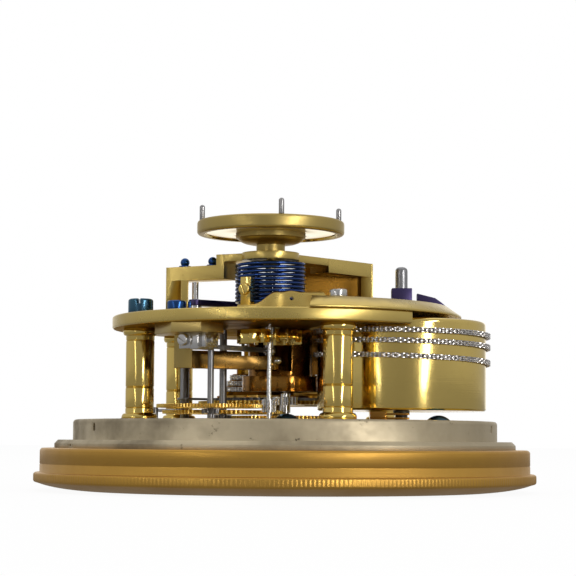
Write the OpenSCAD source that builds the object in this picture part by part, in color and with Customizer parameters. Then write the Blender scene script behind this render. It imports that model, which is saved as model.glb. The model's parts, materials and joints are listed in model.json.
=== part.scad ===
// Marine chronometer movement with its bezel, lying dial down.
// Millimetres. The dial axis is Z, the bezel stands on Z = 0 and the balance is on top.

/* [Bezel and glass] */
// How far the knurled lip stands out from the bezel's wall
lip_out = 1.5; // [1:0.1:3]
// Height of the middle of the lip
lip_z = 3.1; // [2.8:0.1:3.6]
// Radius of the bezel's upright wall
bezel_r = 60.5; // [59.5:0.5:61]
// Height of the bezel
bezel_h = 10.2; // [9.6:0.2:12]
// Width of the bezel's wall beside the glass
wall_w = 7.5; // [7:0.1:8]
// Width of the ledge that the glass lies on
glass_ledge = 3.5; // [3:0.1:5]
// Width of the ring that the bezel lies on
foot_w = 2; // [1:0.1:3]
// Thickness of the glass
glass_t = 2.2; // [1.6:0.1:2.6]

/* [Dial ring and dial] */
// Width of the silvered flange that seats on the bezel
flange_w = 4.5; // [3.5:0.1:5.5]
// Thickness of the flange
flange_t = 2; // [1.6:0.2:2.6]
// Space between the silvered dial ring and the bezel's wall
ring_gap = 0.5; // [0.1:0.1:1]
// Wall of the dial ring
ring_wall = 1.9; // [1.6:0.1:2.4]
// Height of the dial ring above the pillar plate
ring_rise = 0.25; // [0.1:0.05:0.6]
// Thickness of the dial
dial_t = 1; // [0.8:0.1:1.2]
// Space between dial and pillar plate for the motion work
dial_gap = 4.2; // [4.2:0.1:5]

/* [Frame] */
// Thickness of the pillar plate
plate_t = 2.5; // [2.2:0.1:3]
// Distance between the plates
pillar_h = 22.7; // [22.7:0.1:24]
// Radius of a pillar's shaft
pillar_r = 3.5; // [3:0.1:3.8]
// Radius of the top plate
top_r = 43.2; // [42.5:0.1:44]
// Thickness of the top plate
top_t = 3; // [2.6:0.1:3.4]
// Thickness of the barrel bridge
barrel_bridge_t = 2.8; // [2.4:0.1:3.2]

/* [Barrel and fusee] */
// Radius of the spring barrel
barrel_r = 20.6; // [19:0.1:20.7]
// Height of the spring barrel
barrel_h = 21.7; // [21:0.1:22]
// Radius of the barrel arbor
barrel_arbor_r = 2; // [1.6:0.1:2.4]
// Radius of the fusee groove at its wide lower end
fusee_low_r = 13.6; // [12.5:0.1:13.7]
// Radius of the fusee groove at its narrow upper end
fusee_high_r = 7.8; // [6.5:0.1:9]
// Number of turns of the fusee groove
fusee_turns = 8; // [7:1:8]
// Distance between two turns of the groove
fusee_pitch = 1.55; // [1.45:0.05:1.55]
// Width across the flats of the winding square
square_w = 3.2; // [2.6:0.1:3.4]
// Distance between two rivets of the chain
chain_pitch = 1.6; // [1.5:0.1:2]
// Half width of a chain link
link_r = 0.55; // [0.45:0.05:0.55]
// Turns of the chain that lie on the barrel
barrel_chain_turns = 3.05; // [2.4:0.05:3.45]
// Turns of the chain that lie on the fusee
fusee_chain_turns = 2.7; // [1.5:0.1:2.7]

/* [Train] */
// Teeth of the great wheel
great_teeth = 98; // [96:1:98]
// Teeth of the centre pinion
centre_leaves = 14; // [12:1:14]
// Teeth of the centre wheel
centre_teeth = 90; // [88:1:90]
// Teeth of the third pinion
third_leaves = 12; // [10:1:12]
// Teeth of the third wheel
third_teeth = 80; // [78:1:80]
// Teeth of the fourth pinion
fourth_leaves = 10; // [10:1:11]
// Teeth of the fourth wheel
fourth_teeth = 96; // [94:1:96]
// Teeth of the escape pinion
escape_leaves = 12; // [11:1:12]
// Module of the great wheel
great_mod = 0.4; // [0.39:0.005:0.4]
// Module of the centre wheel
centre_mod = 0.33; // [0.32:0.005:0.33]
// Module of the third wheel
third_mod = 0.36; // [0.35:0.005:0.36]
// Module of the fourth wheel
fourth_mod = 0.26; // [0.25:0.005:0.26]
// Thickness of a train wheel
wheel_t = 0.8; // [0.6:0.05:0.85]
// Thickness of the great wheel
great_t = 0.95; // [0.8:0.05:1]
// Radius of a pivot
pivot_r = 0.5; // [0.4:0.05:0.6]
// Distance from the dial's middle to the seconds hand
seconds_r = 29; // [29:0.1:29.6]

/* [Escapement and balance] */
// Teeth of the escape wheel
escape_teeth = 15; // [12:1:16]
// Radius of the escape wheel over its teeth
escape_r = 7.7; // [7:0.1:7.7]
// Height of the escape wheel's upright teeth
escape_tooth_h = 3.2; // [2.4:0.1:3.2]
// Distance from the escape arbor to the balance staff
escape_depth = 13; // [13:0.1:13.4]
// Radius of the impulse roller
impulse_r = 4.9; // [4.4:0.1:4.9]
// Radius of the discharge roller
discharge_r = 1.6; // [1.4:0.1:1.8]
// Radius of the balance disc
balance_r = 18; // [16:0.5:20]
// Height of the balance rim
balance_rim_h = 3.3; // [2.8:0.1:3.8]
// Height of the steel pins on the balance
balance_pin_h = 3.8; // [3:0.1:4.5]
// Middle radius of the helical balance spring
spring_r = 8.35; // [7.5:0.05:8.4]
// Height of the helical balance spring
spring_h = 10; // [9:0.1:10.2]
// Turns of the balance spring
spring_turns = 11; // [8:0.5:12]
// Radius of the spring's wire
spring_wire_r = 0.27; // [0.2:0.01:0.28]
// Height of the balance bridge above the top plate
bridge_h = 15.3; // [15.3:0.1:16]
// Thickness of the bridge over the spring
bridge_t = 1.8; // [1.5:0.1:1.9]

/* [Hidden] */

fit = 0.03;
seat = 0.02;

// Radii of the bezel, the glass and the dial ring, from the bezel's wall inwards
lip_r = bezel_r + lip_out;
glass_r = bezel_r - wall_w;
view_r = glass_r - glass_ledge;
foot_r = view_r + foot_w;
ring_r = glass_r - ring_gap;
flange_r = ring_r + flange_w;

// Levels, from the bezel up
z_glass = 2.6;
z_plate = bezel_h + dial_gap;
z_train = z_plate + plate_t;
z_top = z_train + pillar_h;
z_deck = z_top + top_t;
z_barrel_bridge = z_deck + barrel_bridge_t;
z_arch = z_deck + bridge_h;
ring_top = z_train + ring_rise;

// Levels of the train, from the pillar plate up
wheel_gap = 0.4;
z_centre = z_train + 0.6;
z_third = z_centre + wheel_t + wheel_gap;
z_fourth = z_third + wheel_t + wheel_gap;
z_great = z_fourth + wheel_t + 0.7;
ratchet_t = 0.75;
z_ratchet = z_great + great_t;
disc_t = 0.6;
z_disc = z_ratchet + ratchet_t + seat;
z_fusee = z_disc + disc_t + seat;
z_pot = z_great + great_t + 1.95;
leaf_over = 0.15;
centre_leaf_h = great_t + 1;
z_escape = z_top - 4.6;
z_barrel = z_train + 2.7;

// Arbor places in plan, each one from its depthing
function depthing(n1, n2, m) = m * (n1 + n2) / 2;
function polar(r, a) = [r * cos(a), r * sin(a)];
function bearing_of(v) = atan2(v[1], v[0]);
function crossing(p, rp, q, rq) =
    let(d = norm(q - p), u = (q - p) / d, a = (rp * rp - rq * rq + d * d) / (2 * d))
    p + a * u + sqrt(rp * rp - a * a) * [-u[1], u[0]];

seconds_dir = -127.6;
great_dir = 97;
escape_dir = -8.1;
at_centre = [0, 0];
at_fourth = polar(seconds_r, seconds_dir);
at_great = polar(depthing(great_teeth, centre_leaves, great_mod), great_dir);
at_third = crossing(at_fourth, depthing(third_teeth, fourth_leaves, third_mod),
                    at_centre, depthing(centre_teeth, third_leaves, centre_mod));
at_escape = at_fourth + polar(depthing(fourth_teeth, escape_leaves, fourth_mod), escape_dir);
at_staff = at_escape + [0, escape_depth];
pot_r = 7.9;
barrel_gap = 1.292;
at_barrel = polar(pot_r + barrel_gap + barrel_r, -17.583);
at_pot = [-1.3, -2.6];
at_reserve = -at_fourth;
at_column = [-25.7, 10];
minute_dir = -40;
minute_depth = 9;
at_minute = polar(minute_depth, minute_dir);
pillar_at = [[12.15, -34.4], [-35.8, -7], [-27.9, 24], [25.5, 26]];

// A wheel turned by alpha has a tooth at alpha; this gives the turn of the wheel it drives
function mesh_turn(from, to, alpha, n1, n2) =
    let(t = bearing_of(to - from)) t + 180 + 180 / n2 - (alpha - t) * n1 / n2;
module at(p, z) { translate([p[0], p[1], z]) children(); }
function arc(c, r, a0, a1, n) = [for (i = [0:n]) c + polar(r, a0 + (a1 - a0) * i / n)];
function bend(p, q, r, n) = [for (i = [1:n - 1]) let(t = i / n)
    (1 - t) * (1 - t) * p + 2 * t * (1 - t) * q + t * t * r];

// Gears with radial flanks and rounded tips
function tooth(n, m, i, half, high, deep) =
    let(p = 360 / n, r = n * m / 2)
    [for (q = [[-0.36, -deep], [-half, 0], [-0.62 * half, 0.62 * high], [0, high],
               [0.62 * half, 0.62 * high], [half, 0], [0.36, -deep]])
        polar(r + q[1] * m, (i + q[0]) * p)];
module wheel_outline(n, m) {
    polygon([for (i = [0:n - 1]) each tooth(n, m, i, 0.225, 1.15, 1.3)]);
}
module leaf_outline(n, m) {
    polygon([for (i = [0:n - 1]) each tooth(n, m, i, 0.185, 0.65, 1.5)]);
}
module crossed(rim, hub, arms, arm_w) {
    difference() {
        circle(r = rim, $fn = 96);
        circle(r = hub, $fn = 48);
        for (i = [0:arms - 1]) rotate(i * 360 / arms) translate([0, -arm_w / 2]) square([rim + 1, arm_w]);
    }
}
module train_wheel(n, m, t, bore, hub, arms, arm_w, rim_w) {
    linear_extrude(t) difference() {
        wheel_outline(n, m);
        crossed(n * m / 2 - rim_w, hub, arms, arm_w);
        circle(r = bore, $fn = 48);
    }
}
module pinion(n, m, h) { linear_extrude(h) leaf_outline(n, m); }
module rod(z0, z1, r) { translate([0, 0, z0]) cylinder(r = r, h = z1 - z0, $fn = 32); }
module ratchet_outline(n, r, deep) {
    polygon([for (i = [0:n - 1]) each [polar(r, i * 360 / n), polar(r - deep, (i + 0.15) * 360 / n)]]);
}
// A turned head with a rounded edge and a slot
module slotted_head(r, h, edge, slot_w, slot_turn = 0) {
    difference() {
        rotate_extrude($fn = 48) polygon(
            concat([[0, 0], [r, 0]], arc([r - edge, h - edge], edge, 0, 90, 4), [[0, h]]));
        rotate(slot_turn) translate([-r - 1, -slot_w / 2, h * 0.7]) cube([2 * r + 2, slot_w, h]);
    }
}
// A closed tube swept along points, with the given number of sides
module sweep(points, r, sides) {
    n = len(points);
    rings = [for (i = [0:n - 1])
        let(a = points[max(i - 1, 0)], b = points[min(i + 1, n - 1)], d = (b - a) / norm(b - a),
            s = [d[1], -d[0], 0] / norm([d[1], -d[0]]), u = cross(s, d))
        each [for (k = [0:sides - 1]) points[i] + r * (cos(k * 360 / sides) * s + sin(k * 360 / sides) * u)]];
    faces = concat(
        [[for (k = [0:sides - 1]) k]],
        [[for (k = [sides - 1:-1:0]) (n - 1) * sides + k]],
        [for (i = [0:n - 2]) for (k = [0:sides - 1])
            let(a = i * sides + k, b = i * sides + (k + 1) % sides) each [
                [a, a + sides, b], [b, a + sides, b + sides]]]);
    polyhedron(rings, faces);
}

// Bezel: a turned brass ring with a coin-edge lip
lip_half = 1.2;
module bezel() {
    slope_end = [lip_r - 0.5, lip_z - lip_half + 0.1];
    color("goldenrod") rotate_extrude($fn = 180) polygon(concat(
        [[view_r, 0], [foot_r, 0]],
        bend([foot_r, 0], [(foot_r + lip_r) / 2 + 1.5, 0.55], slope_end, 6),
        arc([lip_r - 0.6, lip_z - lip_half + 0.6], 0.6, -60, 0, 3),
        arc([lip_r - 0.6, lip_z + lip_half - 0.6], 0.6, 0, 90, 4),
        [[bezel_r, lip_z + lip_half]],
        arc([bezel_r - 0.8, bezel_h - 0.8], 0.8, 0, 90, 4),
        [[glass_r + 0.2, bezel_h], [glass_r + 0.2, z_glass], [view_r, z_glass]]));
}
glass_ring_h = 1.2;
module glass_ring() {
    color("goldenrod") translate([0, 0, z_glass + glass_t + seat]) difference() {
        cylinder(r = glass_r + 0.2 - seat, h = glass_ring_h, $fn = 180);
        translate([0, 0, -1]) cylinder(r = glass_r - 1.8, h = glass_ring_h + 2, $fn = 180);
    }
}
module glass() {
    color("lightcyan", 0.4) rotate_extrude($fn = 180)
        polygon([[0, z_glass], [glass_r - 0.4, z_glass], [glass_r, z_glass + 0.4],
                 [glass_r, z_glass + glass_t], [0, z_glass + glass_t]]);
}

// Dial ring: the silvered drum and flange that carry the pillar plate and the dial
ring_in = ring_r - ring_wall;
ledge_w = 1.7;
ring_hole_r = 0.55;
module dial_ring() {
    color("silver") difference() {
        rotate_extrude($fn = 180) polygon(concat(
            [[ring_in, bezel_h], [flange_r, bezel_h], [flange_r, bezel_h + flange_t * 0.55],
             [flange_r - 0.9, bezel_h + flange_t], [ring_r, bezel_h + flange_t]],
            arc([ring_r - 0.8, ring_top - 0.8], 0.8, 0, 90, 4),
            [[ring_in, ring_top], [ring_in, z_plate], [ring_in - ledge_w, z_plate],
             [ring_in - ledge_w, z_plate - 1], [ring_in, z_plate - 1]]));
        for (a = [-148.3, -19.9]) rotate(a) for (z = [z_plate + 0.4, z_plate + 0.8, z_plate + 1.2])
            translate([ring_in - 1, 0, z]) rotate([0, 90, 0])
                    cylinder(r = ring_hole_r, h = ring_wall + 2, $fn = 24);
        rotate(-151.9) translate([flange_r - 1.6, 0, bezel_h + 0.7]) rotate([0, 90, 0])
            cylinder(r = 0.35, h = 3, $fn = 24);
    }
}
dial_foot_r = 1.2;
dial_feet_at = [-25, 125, 200];
dial_foot_in = 10.5;
module dial() {
    color("gainsboro") {
        difference() {
            translate([0, 0, bezel_h - dial_t]) cylinder(r = ring_r + 0.2, h = dial_t, $fn = 180);
            translate([0, 0, bezel_h - dial_t - 1])
                cylinder(r = hour_pipe_r + 0.3, h = dial_t + 2, $fn = 48);
            for (p = [at_fourth, at_reserve])
                at(p, bezel_h - dial_t - 1) cylinder(r = pivot_r + 0.4, h = dial_t + 2, $fn = 32);
        }
        for (a = dial_feet_at) rotate(a) translate([ring_r - dial_foot_in, 0, 0]) rod(bezel_h, z_plate, dial_foot_r);
    }
}

// Frame: two plates on four turned pillars
module pillar_plate() {
    holes = [[at_centre, centre_r + fit], [at_fourth, pivot_r + fit], [at_third, pivot_r + fit],
             [at_escape, pivot_r + fit], [at_great, great_pivot_r + fit], [at_barrel, barrel_pivot_r + fit],
             [at_column, pivot_r + fit]];
    color("gold") difference() {
        translate([0, 0, z_plate]) cylinder(r = ring_in - 0.1, h = plate_t, $fn = 180);
        for (q = holes) at(q[0], z_plate - 1) cylinder(r = q[1], h = plate_t + 2, $fn = 32);
        at(at_reserve, z_plate - 1) cylinder(r = pivot_r + fit, h = 2.2, $fn = 32);
    }
    color("silver") at(at_minute, z_plate) mirror([0, 0, 1])
        cylinder(r = post_r, h = dial_gap - 0.3, $fn = 32);
}
module pillar() {
    foot = pillar_r + 0.9;
    cap = pillar_r + 0.7;
    v = 0.18;
    rotate_extrude($fn = 64) polygon(concat(
        [[0, 0], [foot - 0.3, 0]], bend([foot - 0.3, 0], [foot + 0.35, 0.9], [foot - 0.35, 1.7], 5),
        [[foot - 0.35, 1.7], [pillar_r, 1.9], [pillar_r, 3], [pillar_r - v, 3.15], [pillar_r, 3.3],
         [pillar_r, 7.9], [pillar_r - v, 8.05], [pillar_r, 8.2], [pillar_r - v, 8.45], [pillar_r, 8.6],
         [pillar_r, pillar_h - 3.2], [pillar_r - v, pillar_h - 3.05], [pillar_r, pillar_h - 2.9],
         [pillar_r, pillar_h - 1.9], [cap - 0.25, pillar_h - 1.75]],
        bend([cap - 0.25, pillar_h - 1.75], [cap + 0.3, pillar_h - 0.9], [cap - 0.2, pillar_h], 5),
        [[cap - 0.2, pillar_h], [0, pillar_h]]));
}
module pillars() {
    color("gold") for (p = pillar_at) at(p, z_train) pillar();
}
bite_r = barrel_r + 1.9;
staff_hole_r = 2.6;
chamfer = 0.3;
module top_plate() {
    color("gold") difference() {
        translate([0, 0, z_top]) rotate_extrude($fn = 180)
            polygon([[0, 0], [top_r - chamfer, 0], [top_r, chamfer], [top_r, top_t - chamfer],
                     [top_r - chamfer, top_t], [0, top_t]]);
        at(at_barrel, z_top - 1) cylinder(r = bite_r, h = top_t + 2, $fn = 128);
        for (q = [[at_staff, staff_hole_r], [at_great, fusee_arbor_r + fit], [at_fourth, pivot_r + fit],
                  [at_third, pivot_r + fit], [at_escape, pivot_r + fit], [at_column, pivot_r + fit]])
            at(q[0], z_top - 1) cylinder(r = q[1], h = top_t + 2, $fn = 48);
    }
}
// The bridge follows the plate's edge over the barrel, with a bevelled rim
bridge_edge = 2.8;
bridge_rim = 0.45;
module barrel_bridge() {
    plan = [[5, -46], [7.5, -29.5], [15, -20], [19, -9], [22.6, 3], [24.4, 12], [24.4, 21], [20, 25], [20, 46],
            [60, 46], [60, -46]];
    color("gold") difference() {
        intersection() {
            translate([0, 0, z_deck]) rotate_extrude($fn = 180)
                polygon([[0, 0], [top_r + 0.6, 0], [top_r + 0.6, bridge_rim],
                         [top_r - bridge_edge, barrel_bridge_t], [0, barrel_bridge_t]]);
            translate([0, 0, z_deck - 1]) linear_extrude(barrel_bridge_t + 2) polygon(plan);
            translate([0, 0, z_deck - 1]) rotate(2) linear_extrude(barrel_bridge_t + 2)
                polygon([[-10, -60], [60, -60], [60, 32], [-10, 32]]);
        }
        at(at_barrel, z_deck - 1)
            cylinder(r = barrel_arbor_r + fit, h = barrel_bridge_t + 2, $fn = 48);
    }
}
module pillar_screws() {
    color("midnightblue") for (i = [1, 2]) at(pillar_at[i], z_deck)
        slotted_head(3.1, 4.3, 0.6, 0.7, 35 + 50 * i);
}
module bridge_nuts() {
    color("lightsteelblue") for (i = [0, 3]) at(pillar_at[i], z_barrel_bridge)
        slotted_head(2, 1.9, 0.4, 0.5, 70);
}
plate_screw_at = [[0.4, -39], [36, -26.5], [-20, 37], [-40, 12]];
module plate_screws() {
    color("midnightblue") for (p = plate_screw_at) at(p, z_train)
        difference() {
            rotate_extrude($fn = 48) polygon(concat([[0, 0]], arc([0, -2.3], 3.8, 37.3, 90, 6)));
            rotate(30) translate([-4, -0.3, 1.05]) cube([8, 0.6, 2]);
        }
}

// Spring barrel with its cover, spring and arbor
barrel_wall = 1.2;
barrel_pivot_r = 1.5;
cover_t = 1.1;
module barrel() {
    in_r = barrel_r - barrel_wall;
    color("gold") at(at_barrel, z_barrel) rotate_extrude($fn = 128) polygon(concat(
        [[barrel_arbor_r + fit, 0], [barrel_r - 0.4, 0], [barrel_r, 0.4]],
        arc([barrel_r - 1, barrel_h - 1], 1, 0, 90, 5),
        [[in_r, barrel_h], [in_r, 1.4], [barrel_arbor_r + fit, 1.4]]));
}
module barrel_cover() {
    color("gold") at(at_barrel, z_barrel + barrel_h - cover_t - 0.3)
        difference() {
            cylinder(r = barrel_r - barrel_wall - seat, h = cover_t, $fn = 128);
            translate([0, 0, -1]) cylinder(r = barrel_arbor_r + fit, h = cover_t + 2, $fn = 48);
        }
}
barrel_hub_r = 5.5;
spring_band = 0.55;
band_turns = 5;
module mainspring() {
    n = band_turns * 24;
    outer = barrel_r - barrel_wall - 0.3;
    step = (outer - spring_band - barrel_hub_r - 0.5) / n;
    color("slategray") at(at_barrel, z_barrel + 1.6)
        linear_extrude(barrel_h - cover_t - 2.2) polygon(concat(
            [for (i = [0:n]) polar(outer - i * step, i * 15)],
            [for (i = [n:-1:0]) polar(outer - spring_band - i * step, i * 15)]));
}
setup_h = 4.2;
setup_w = 4.9;
setup_pin_r = 1.5;
setup_pin_h = 5.4;
module barrel_arbor() {
    z_end = z_barrel_bridge + setup_h + setup_pin_h;
    color("gray") at(at_barrel, 0) {
        rotate_extrude($fn = 48) polygon(concat(
            [[0, z_plate], [barrel_pivot_r, z_plate], [barrel_pivot_r, z_barrel - 0.9],
             [barrel_arbor_r, z_barrel - 0.9], [barrel_arbor_r, z_barrel + 1.6],
             [barrel_hub_r, z_barrel + 1.6], [barrel_hub_r, z_barrel + barrel_h - cover_t - 0.6],
             [barrel_arbor_r, z_barrel + barrel_h - cover_t - 0.6],
             [barrel_arbor_r, z_barrel_bridge + seat], [setup_pin_r, z_barrel_bridge + seat],
             [setup_pin_r, z_end - 1.1]],
            bend([setup_pin_r, z_end - 1.1], [setup_pin_r, z_end], [0, z_end], 6), [[0, z_end]]));
    }
}
module setup_square() {
    color("midnightblue") at(at_barrel, z_barrel_bridge + seat) difference() {
        translate([-setup_w / 2, -setup_w / 2, 0]) cube([setup_w, setup_w, setup_h]);
        translate([0, 0, -1]) cylinder(r = setup_pin_r + seat, h = setup_h + 2, $fn = 48);
    }
}
module setup_click() {
    corner = setup_w * 0.7072 + 0.3;
    color("slateblue") translate([at_barrel[0] + corner, at_barrel[1] + 1.5, z_barrel_bridge]) {
        rotate([90, 0, 0]) linear_extrude(3)
            polygon([[0, 0], [8.2, 0], [7.4, 0.7], [4.4, 1.9], [0, 3]]);
    }
}

// Fusee: a tapering drum with one spiral groove cut round it
fusee_arbor_r = 2;
great_pivot_r = 1.5;
ridge_h = 0.7;
function groove_r(z) = let(t = (z - z_fusee) / (fusee_turns * fusee_pitch))
    fusee_low_r + (fusee_high_r - fusee_low_r) * (1.35 * t - 0.35 * t * t);
// Each turn of the groove is a strip of four lines: two of the ridge and two of the groove
ridge_w = 0.12;
flank_w = 0.07;
fusee_rim = 0.35;
fusee_steps = 36;
groove_top = z_fusee + fusee_rim + fusee_turns * fusee_pitch;
function spiral_pt(i, q, out) = let(z = groove_top - (i / fusee_steps + q) * fusee_pitch,
    middle = groove_top - (i / fusee_steps + (1 + ridge_w) / 2) * fusee_pitch,
    r = out > 0 ? groove_r(z) + ridge_h : groove_r(middle), a = i * 360 / fusee_steps)
    [r * cos(a), r * sin(a), z];
function ring_pts(r, z) = [for (i = [0:fusee_steps - 1]) [each polar(r, i * 360 / fusee_steps), z]];
function flip(q) = [[q[0], q[2], q[1]], [q[0], q[3], q[2]]];
module fusee_body() {
    n = fusee_steps;
    last = (fusee_turns - 1) * n;
    lay = [[0, 1], [ridge_w, 1], [ridge_w + flank_w, 0], [1 - flank_w, 0]];
    k = len(lay);
    s_low = (last + 1) * k;
    s_top = s_low + n + 1;
    s_bot = s_top + n;
    s_it = s_bot + n;
    s_ib = s_it + n;
    bore = fusee_arbor_r + 0.05;
    points = concat(
        [for (i = [0:last]) each [for (q = lay) spiral_pt(i, q[0], q[1])]],
        [for (i = [last:last + n]) spiral_pt(i, 0, 1)],
        ring_pts(groove_r(groove_top) + ridge_h, groove_top + 0.5),
        ring_pts(groove_r(z_fusee) + ridge_h, z_fusee),
        ring_pts(bore, groove_top + 0.5),
        ring_pts(bore, z_fusee));
    edge = function(i) i <= last ? i * k : s_low + i - last;
    next = function(i) (i + 1) % n;
    quads = concat(
        [for (i = [0:last - 1]) for (j = [0:k - 2])
            [i * k + j, i * k + j + 1, (i + 1) * k + j + 1, (i + 1) * k + j]],
        [for (i = [0:last - 1]) [i * k + k - 1, edge(i + n), edge(i + n + 1), (i + 1) * k + k - 1]],
        [for (i = [0:n - 1]) [s_top + i, edge(i), edge(i + 1), s_top + next(i)]],
        [for (i = [0:n - 1]) [edge(last + i), s_bot + i, s_bot + next(i), edge(last + i + 1)]],
        [for (i = [0:n - 1]) [s_it + i, s_top + i, s_top + next(i), s_it + next(i)]],
        [for (i = [0:n - 1]) [s_ib + i, s_it + i, s_it + next(i), s_ib + next(i)]],
        [for (i = [0:n - 1]) [s_bot + i, s_ib + i, s_ib + next(i), s_bot + next(i)]]);
    start = concat([[s_top, k - 1, edge(n)]], [for (j = [0:k - 2]) [s_top, j, j + 1]]);
    end = concat([for (j = [0:k - 2]) [s_bot, last * k + j + 1, last * k + j]],
                 [[s_bot, edge(last + n), last * k + k - 1]]);
    polyhedron(points, concat([for (q = quads) each flip(q)], start, end));
}
module fusee() {
    color("gold") at(at_great, 0) {
        fusee_body();
        translate([0, 0, z_disc]) difference() {
            cylinder(r = fusee_low_r + 1.6, h = disc_t, $fn = 96);
            translate([0, 0, -1]) cylinder(r = fusee_arbor_r + seat, h = disc_t + 2, $fn = 48);
        }
    }
}
square_h = 9.4;
reserve_leaves = 10;
reserve_teeth = 90;
reserve_mod = 2 * norm(at_reserve - at_great) / (reserve_leaves + reserve_teeth);
z_reserve = z_plate - 1.5;
module fusee_arbor() {
    color("lightsteelblue") at(at_great, 0) {
        rod(z_plate - 0.2, z_great - 0.5, great_pivot_r);
        rod(z_great - 0.6, z_deck + 0.4, fusee_arbor_r);
        translate([-square_w / 2, -square_w / 2, z_deck + 0.3]) cube([square_w, square_w, square_h]);
        translate([0, 0, z_reserve - 0.1])
            rotate(mesh_turn(at_reserve, at_great, 0, reserve_teeth, reserve_leaves))
            pinion(reserve_leaves, reserve_mod, z_plate - z_reserve);
    }
}
ratchet_r = 17.8;
ratchet_n = 60;
module maintaining_ratchet() {
    color("slategray") at(at_great, z_ratchet) linear_extrude(ratchet_t) difference() {
        ratchet_outline(ratchet_n, ratchet_r, 0.9);
        circle(r = fusee_arbor_r + 0.3, $fn = 48);
    }
}
great_turn = mesh_turn(at_centre, at_great, 0, centre_leaves, great_teeth);
module great_wheel() {
    color("gold") at(at_great, z_great) rotate(great_turn)
        train_wheel(great_teeth, great_mod, great_t, fusee_arbor_r + fit, 8, 6, 2.4, 3.2);
}
// The pawl hangs on an upright arbor and rests beside the maintaining ratchet
column_r = 1.1;
pawl_reach = norm(at_great - at_column) - ratchet_r - 0.15;
module maintaining_pawl() {
    color("dimgray") at(at_column, 0) {
        rod(z_plate + 0.2, z_train + 0.5, pivot_r);
        rod(z_train + 0.4, z_top - 0.2, column_r);
        rod(z_top - 0.3, z_deck - 0.2, pivot_r);
        rotate(bearing_of(at_great - at_column)) translate([0, 0, z_ratchet + 0.1]) {
            cylinder(r = 1.9, h = ratchet_t - 0.2, $fn = 32);
            linear_extrude(ratchet_t - 0.2)
                polygon([[0, -1.5], [pawl_reach - 1.5, -0.9], [pawl_reach, 0.1],
                         [pawl_reach - 0.9, 0.6], [0, 1.5]]);
        }
    }
}
pawl_spring_z = 2.4;
module pawl_spring() {
    tail = at_column + [-0.3, -1.75];
    root = at_column + [-7.4, -3.2];
    color("black") {
        at(root, 0) rod(z_train, z_train + pawl_spring_z + 1.2, 0.9);
        translate([0, 0, z_train + pawl_spring_z]) linear_extrude(0.8)
            polygon([root + [0, 0.35], tail + [0, 0.3], tail + [0, -0.05], root + [0, -0.35]]);
    }
}
cock_at = [21.7, -27.6];
module barrel_cock() {
    color("saddlebrown") translate([cock_at[0] - 1.9, cock_at[1] - 1.6, z_train]) cube([3.8, 3.2, 2.3]);
    color("silver") for (z = [0.5, 1.5]) translate([cock_at[0] + 1.92, cock_at[1] - 1.4, z_train + z])
        cube([5.4, 2.6, 0.45]);
}

// Chain: flat links on rivets, along the barrel, across to the fusee and round it
plate_in_t = 0.4;
plate_out_t = 0.22;
link_gap = 0.11;
rivet_r = 0.22;
chain_half = plate_in_t / 2 + link_gap + plate_out_t;
barrel_chain_r = barrel_r + 0.12 + link_r;
function fusee_chain_r(z) = groove_r(z) + 0.12 + link_r;
z_leave = z_barrel + 10.9;
chain_span = at_barrel - at_great;
// Bearing of the outer tangent of the two drums, on the side away from the balance
function tangent_at(z) =
    bearing_of(chain_span) + acos((fusee_chain_r(z) - barrel_chain_r) / norm(chain_span));
free_turns = 4;
function groove_z(a, turn) = groove_top - (a / 360 + (1 + ridge_w) / 2 + turn) * fusee_pitch;
z_meet = groove_z(tangent_at(z_fusee + 3.5 * fusee_pitch), free_turns);
meet_r = fusee_chain_r(z_meet);
tangent_dir = tangent_at(z_meet);
run_from = at_barrel + polar(barrel_chain_r, tangent_dir);
run_to = at_great + polar(meet_r, tangent_dir);
barrel_step = 2 * asin(chain_pitch / (2 * barrel_chain_r));
barrel_links = 2 * floor(barrel_chain_turns * 180 / barrel_step);
run_links = 2 * round(norm(run_to - run_from) / chain_pitch / 2);
fusee_step = 2 * asin(chain_pitch / (2 * meet_r + 0.4));
fusee_links = 2 * floor(fusee_chain_turns * 180 / fusee_step);
function rise_on_barrel(t) = z_leave + 4.51 * t - 0.518 * t * t;
function barrel_joint(i) = let(a = (barrel_links - i) * barrel_step,
                               p = at_barrel + polar(barrel_chain_r, tangent_dir - a))
    [p[0], p[1], rise_on_barrel(a / 360)];
function run_joint(i) = let(t = i / run_links, p = run_from + (run_to - run_from) * t)
    [p[0], p[1], z_leave + (z_meet - z_leave) * t];
function fusee_joint(i) = let(a = i * fusee_step, z = z_meet - fusee_pitch * a / 360,
                              p = at_great + polar(fusee_chain_r(z), tangent_dir + a)) [p[0], p[1], z];
module link_plate(l) {
    circle(r = link_r, $fn = 24);
    translate([l, 0]) circle(r = link_r, $fn = 24);
    translate([0, -link_r * 0.72]) square([l, link_r * 1.44]);
}
module chain(joints) {
    for (i = [0:len(joints) - 2]) {
        a = joints[i];
        b = joints[i + 1];
        l = norm([b[0] - a[0], b[1] - a[1]]);
        translate([a[0], a[1], (a[2] + b[2]) / 2]) rotate(bearing_of(b - a)) {
            if (i % 2 == 0) {
                translate([0, 0, -plate_in_t / 2]) linear_extrude(plate_in_t) difference() {
                    link_plate(l);
                    circle(r = rivet_r + 0.06, $fn = 16);
                    translate([l, 0]) circle(r = rivet_r + 0.06, $fn = 16);
                }
            } else {
                for (z = [plate_in_t / 2 + link_gap, -chain_half]) translate([0, 0, z])
                    linear_extrude(plate_out_t) link_plate(l);
                for (x = [0, l]) translate([x, 0, -chain_half + 0.1])
                    cylinder(r = rivet_r, h = 2 * chain_half - 0.2, $fn = 16);
            }
        }
    }
}
module chain_on_barrel() { color("dimgray") chain([for (i = [0:barrel_links]) barrel_joint(i)]); }
module chain_run() { color("dimgray") chain([for (i = [0:run_links]) run_joint(i)]); }
module chain_on_fusee() { color("dimgray") chain([for (i = [0:fusee_links]) fusee_joint(i)]); }

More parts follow.
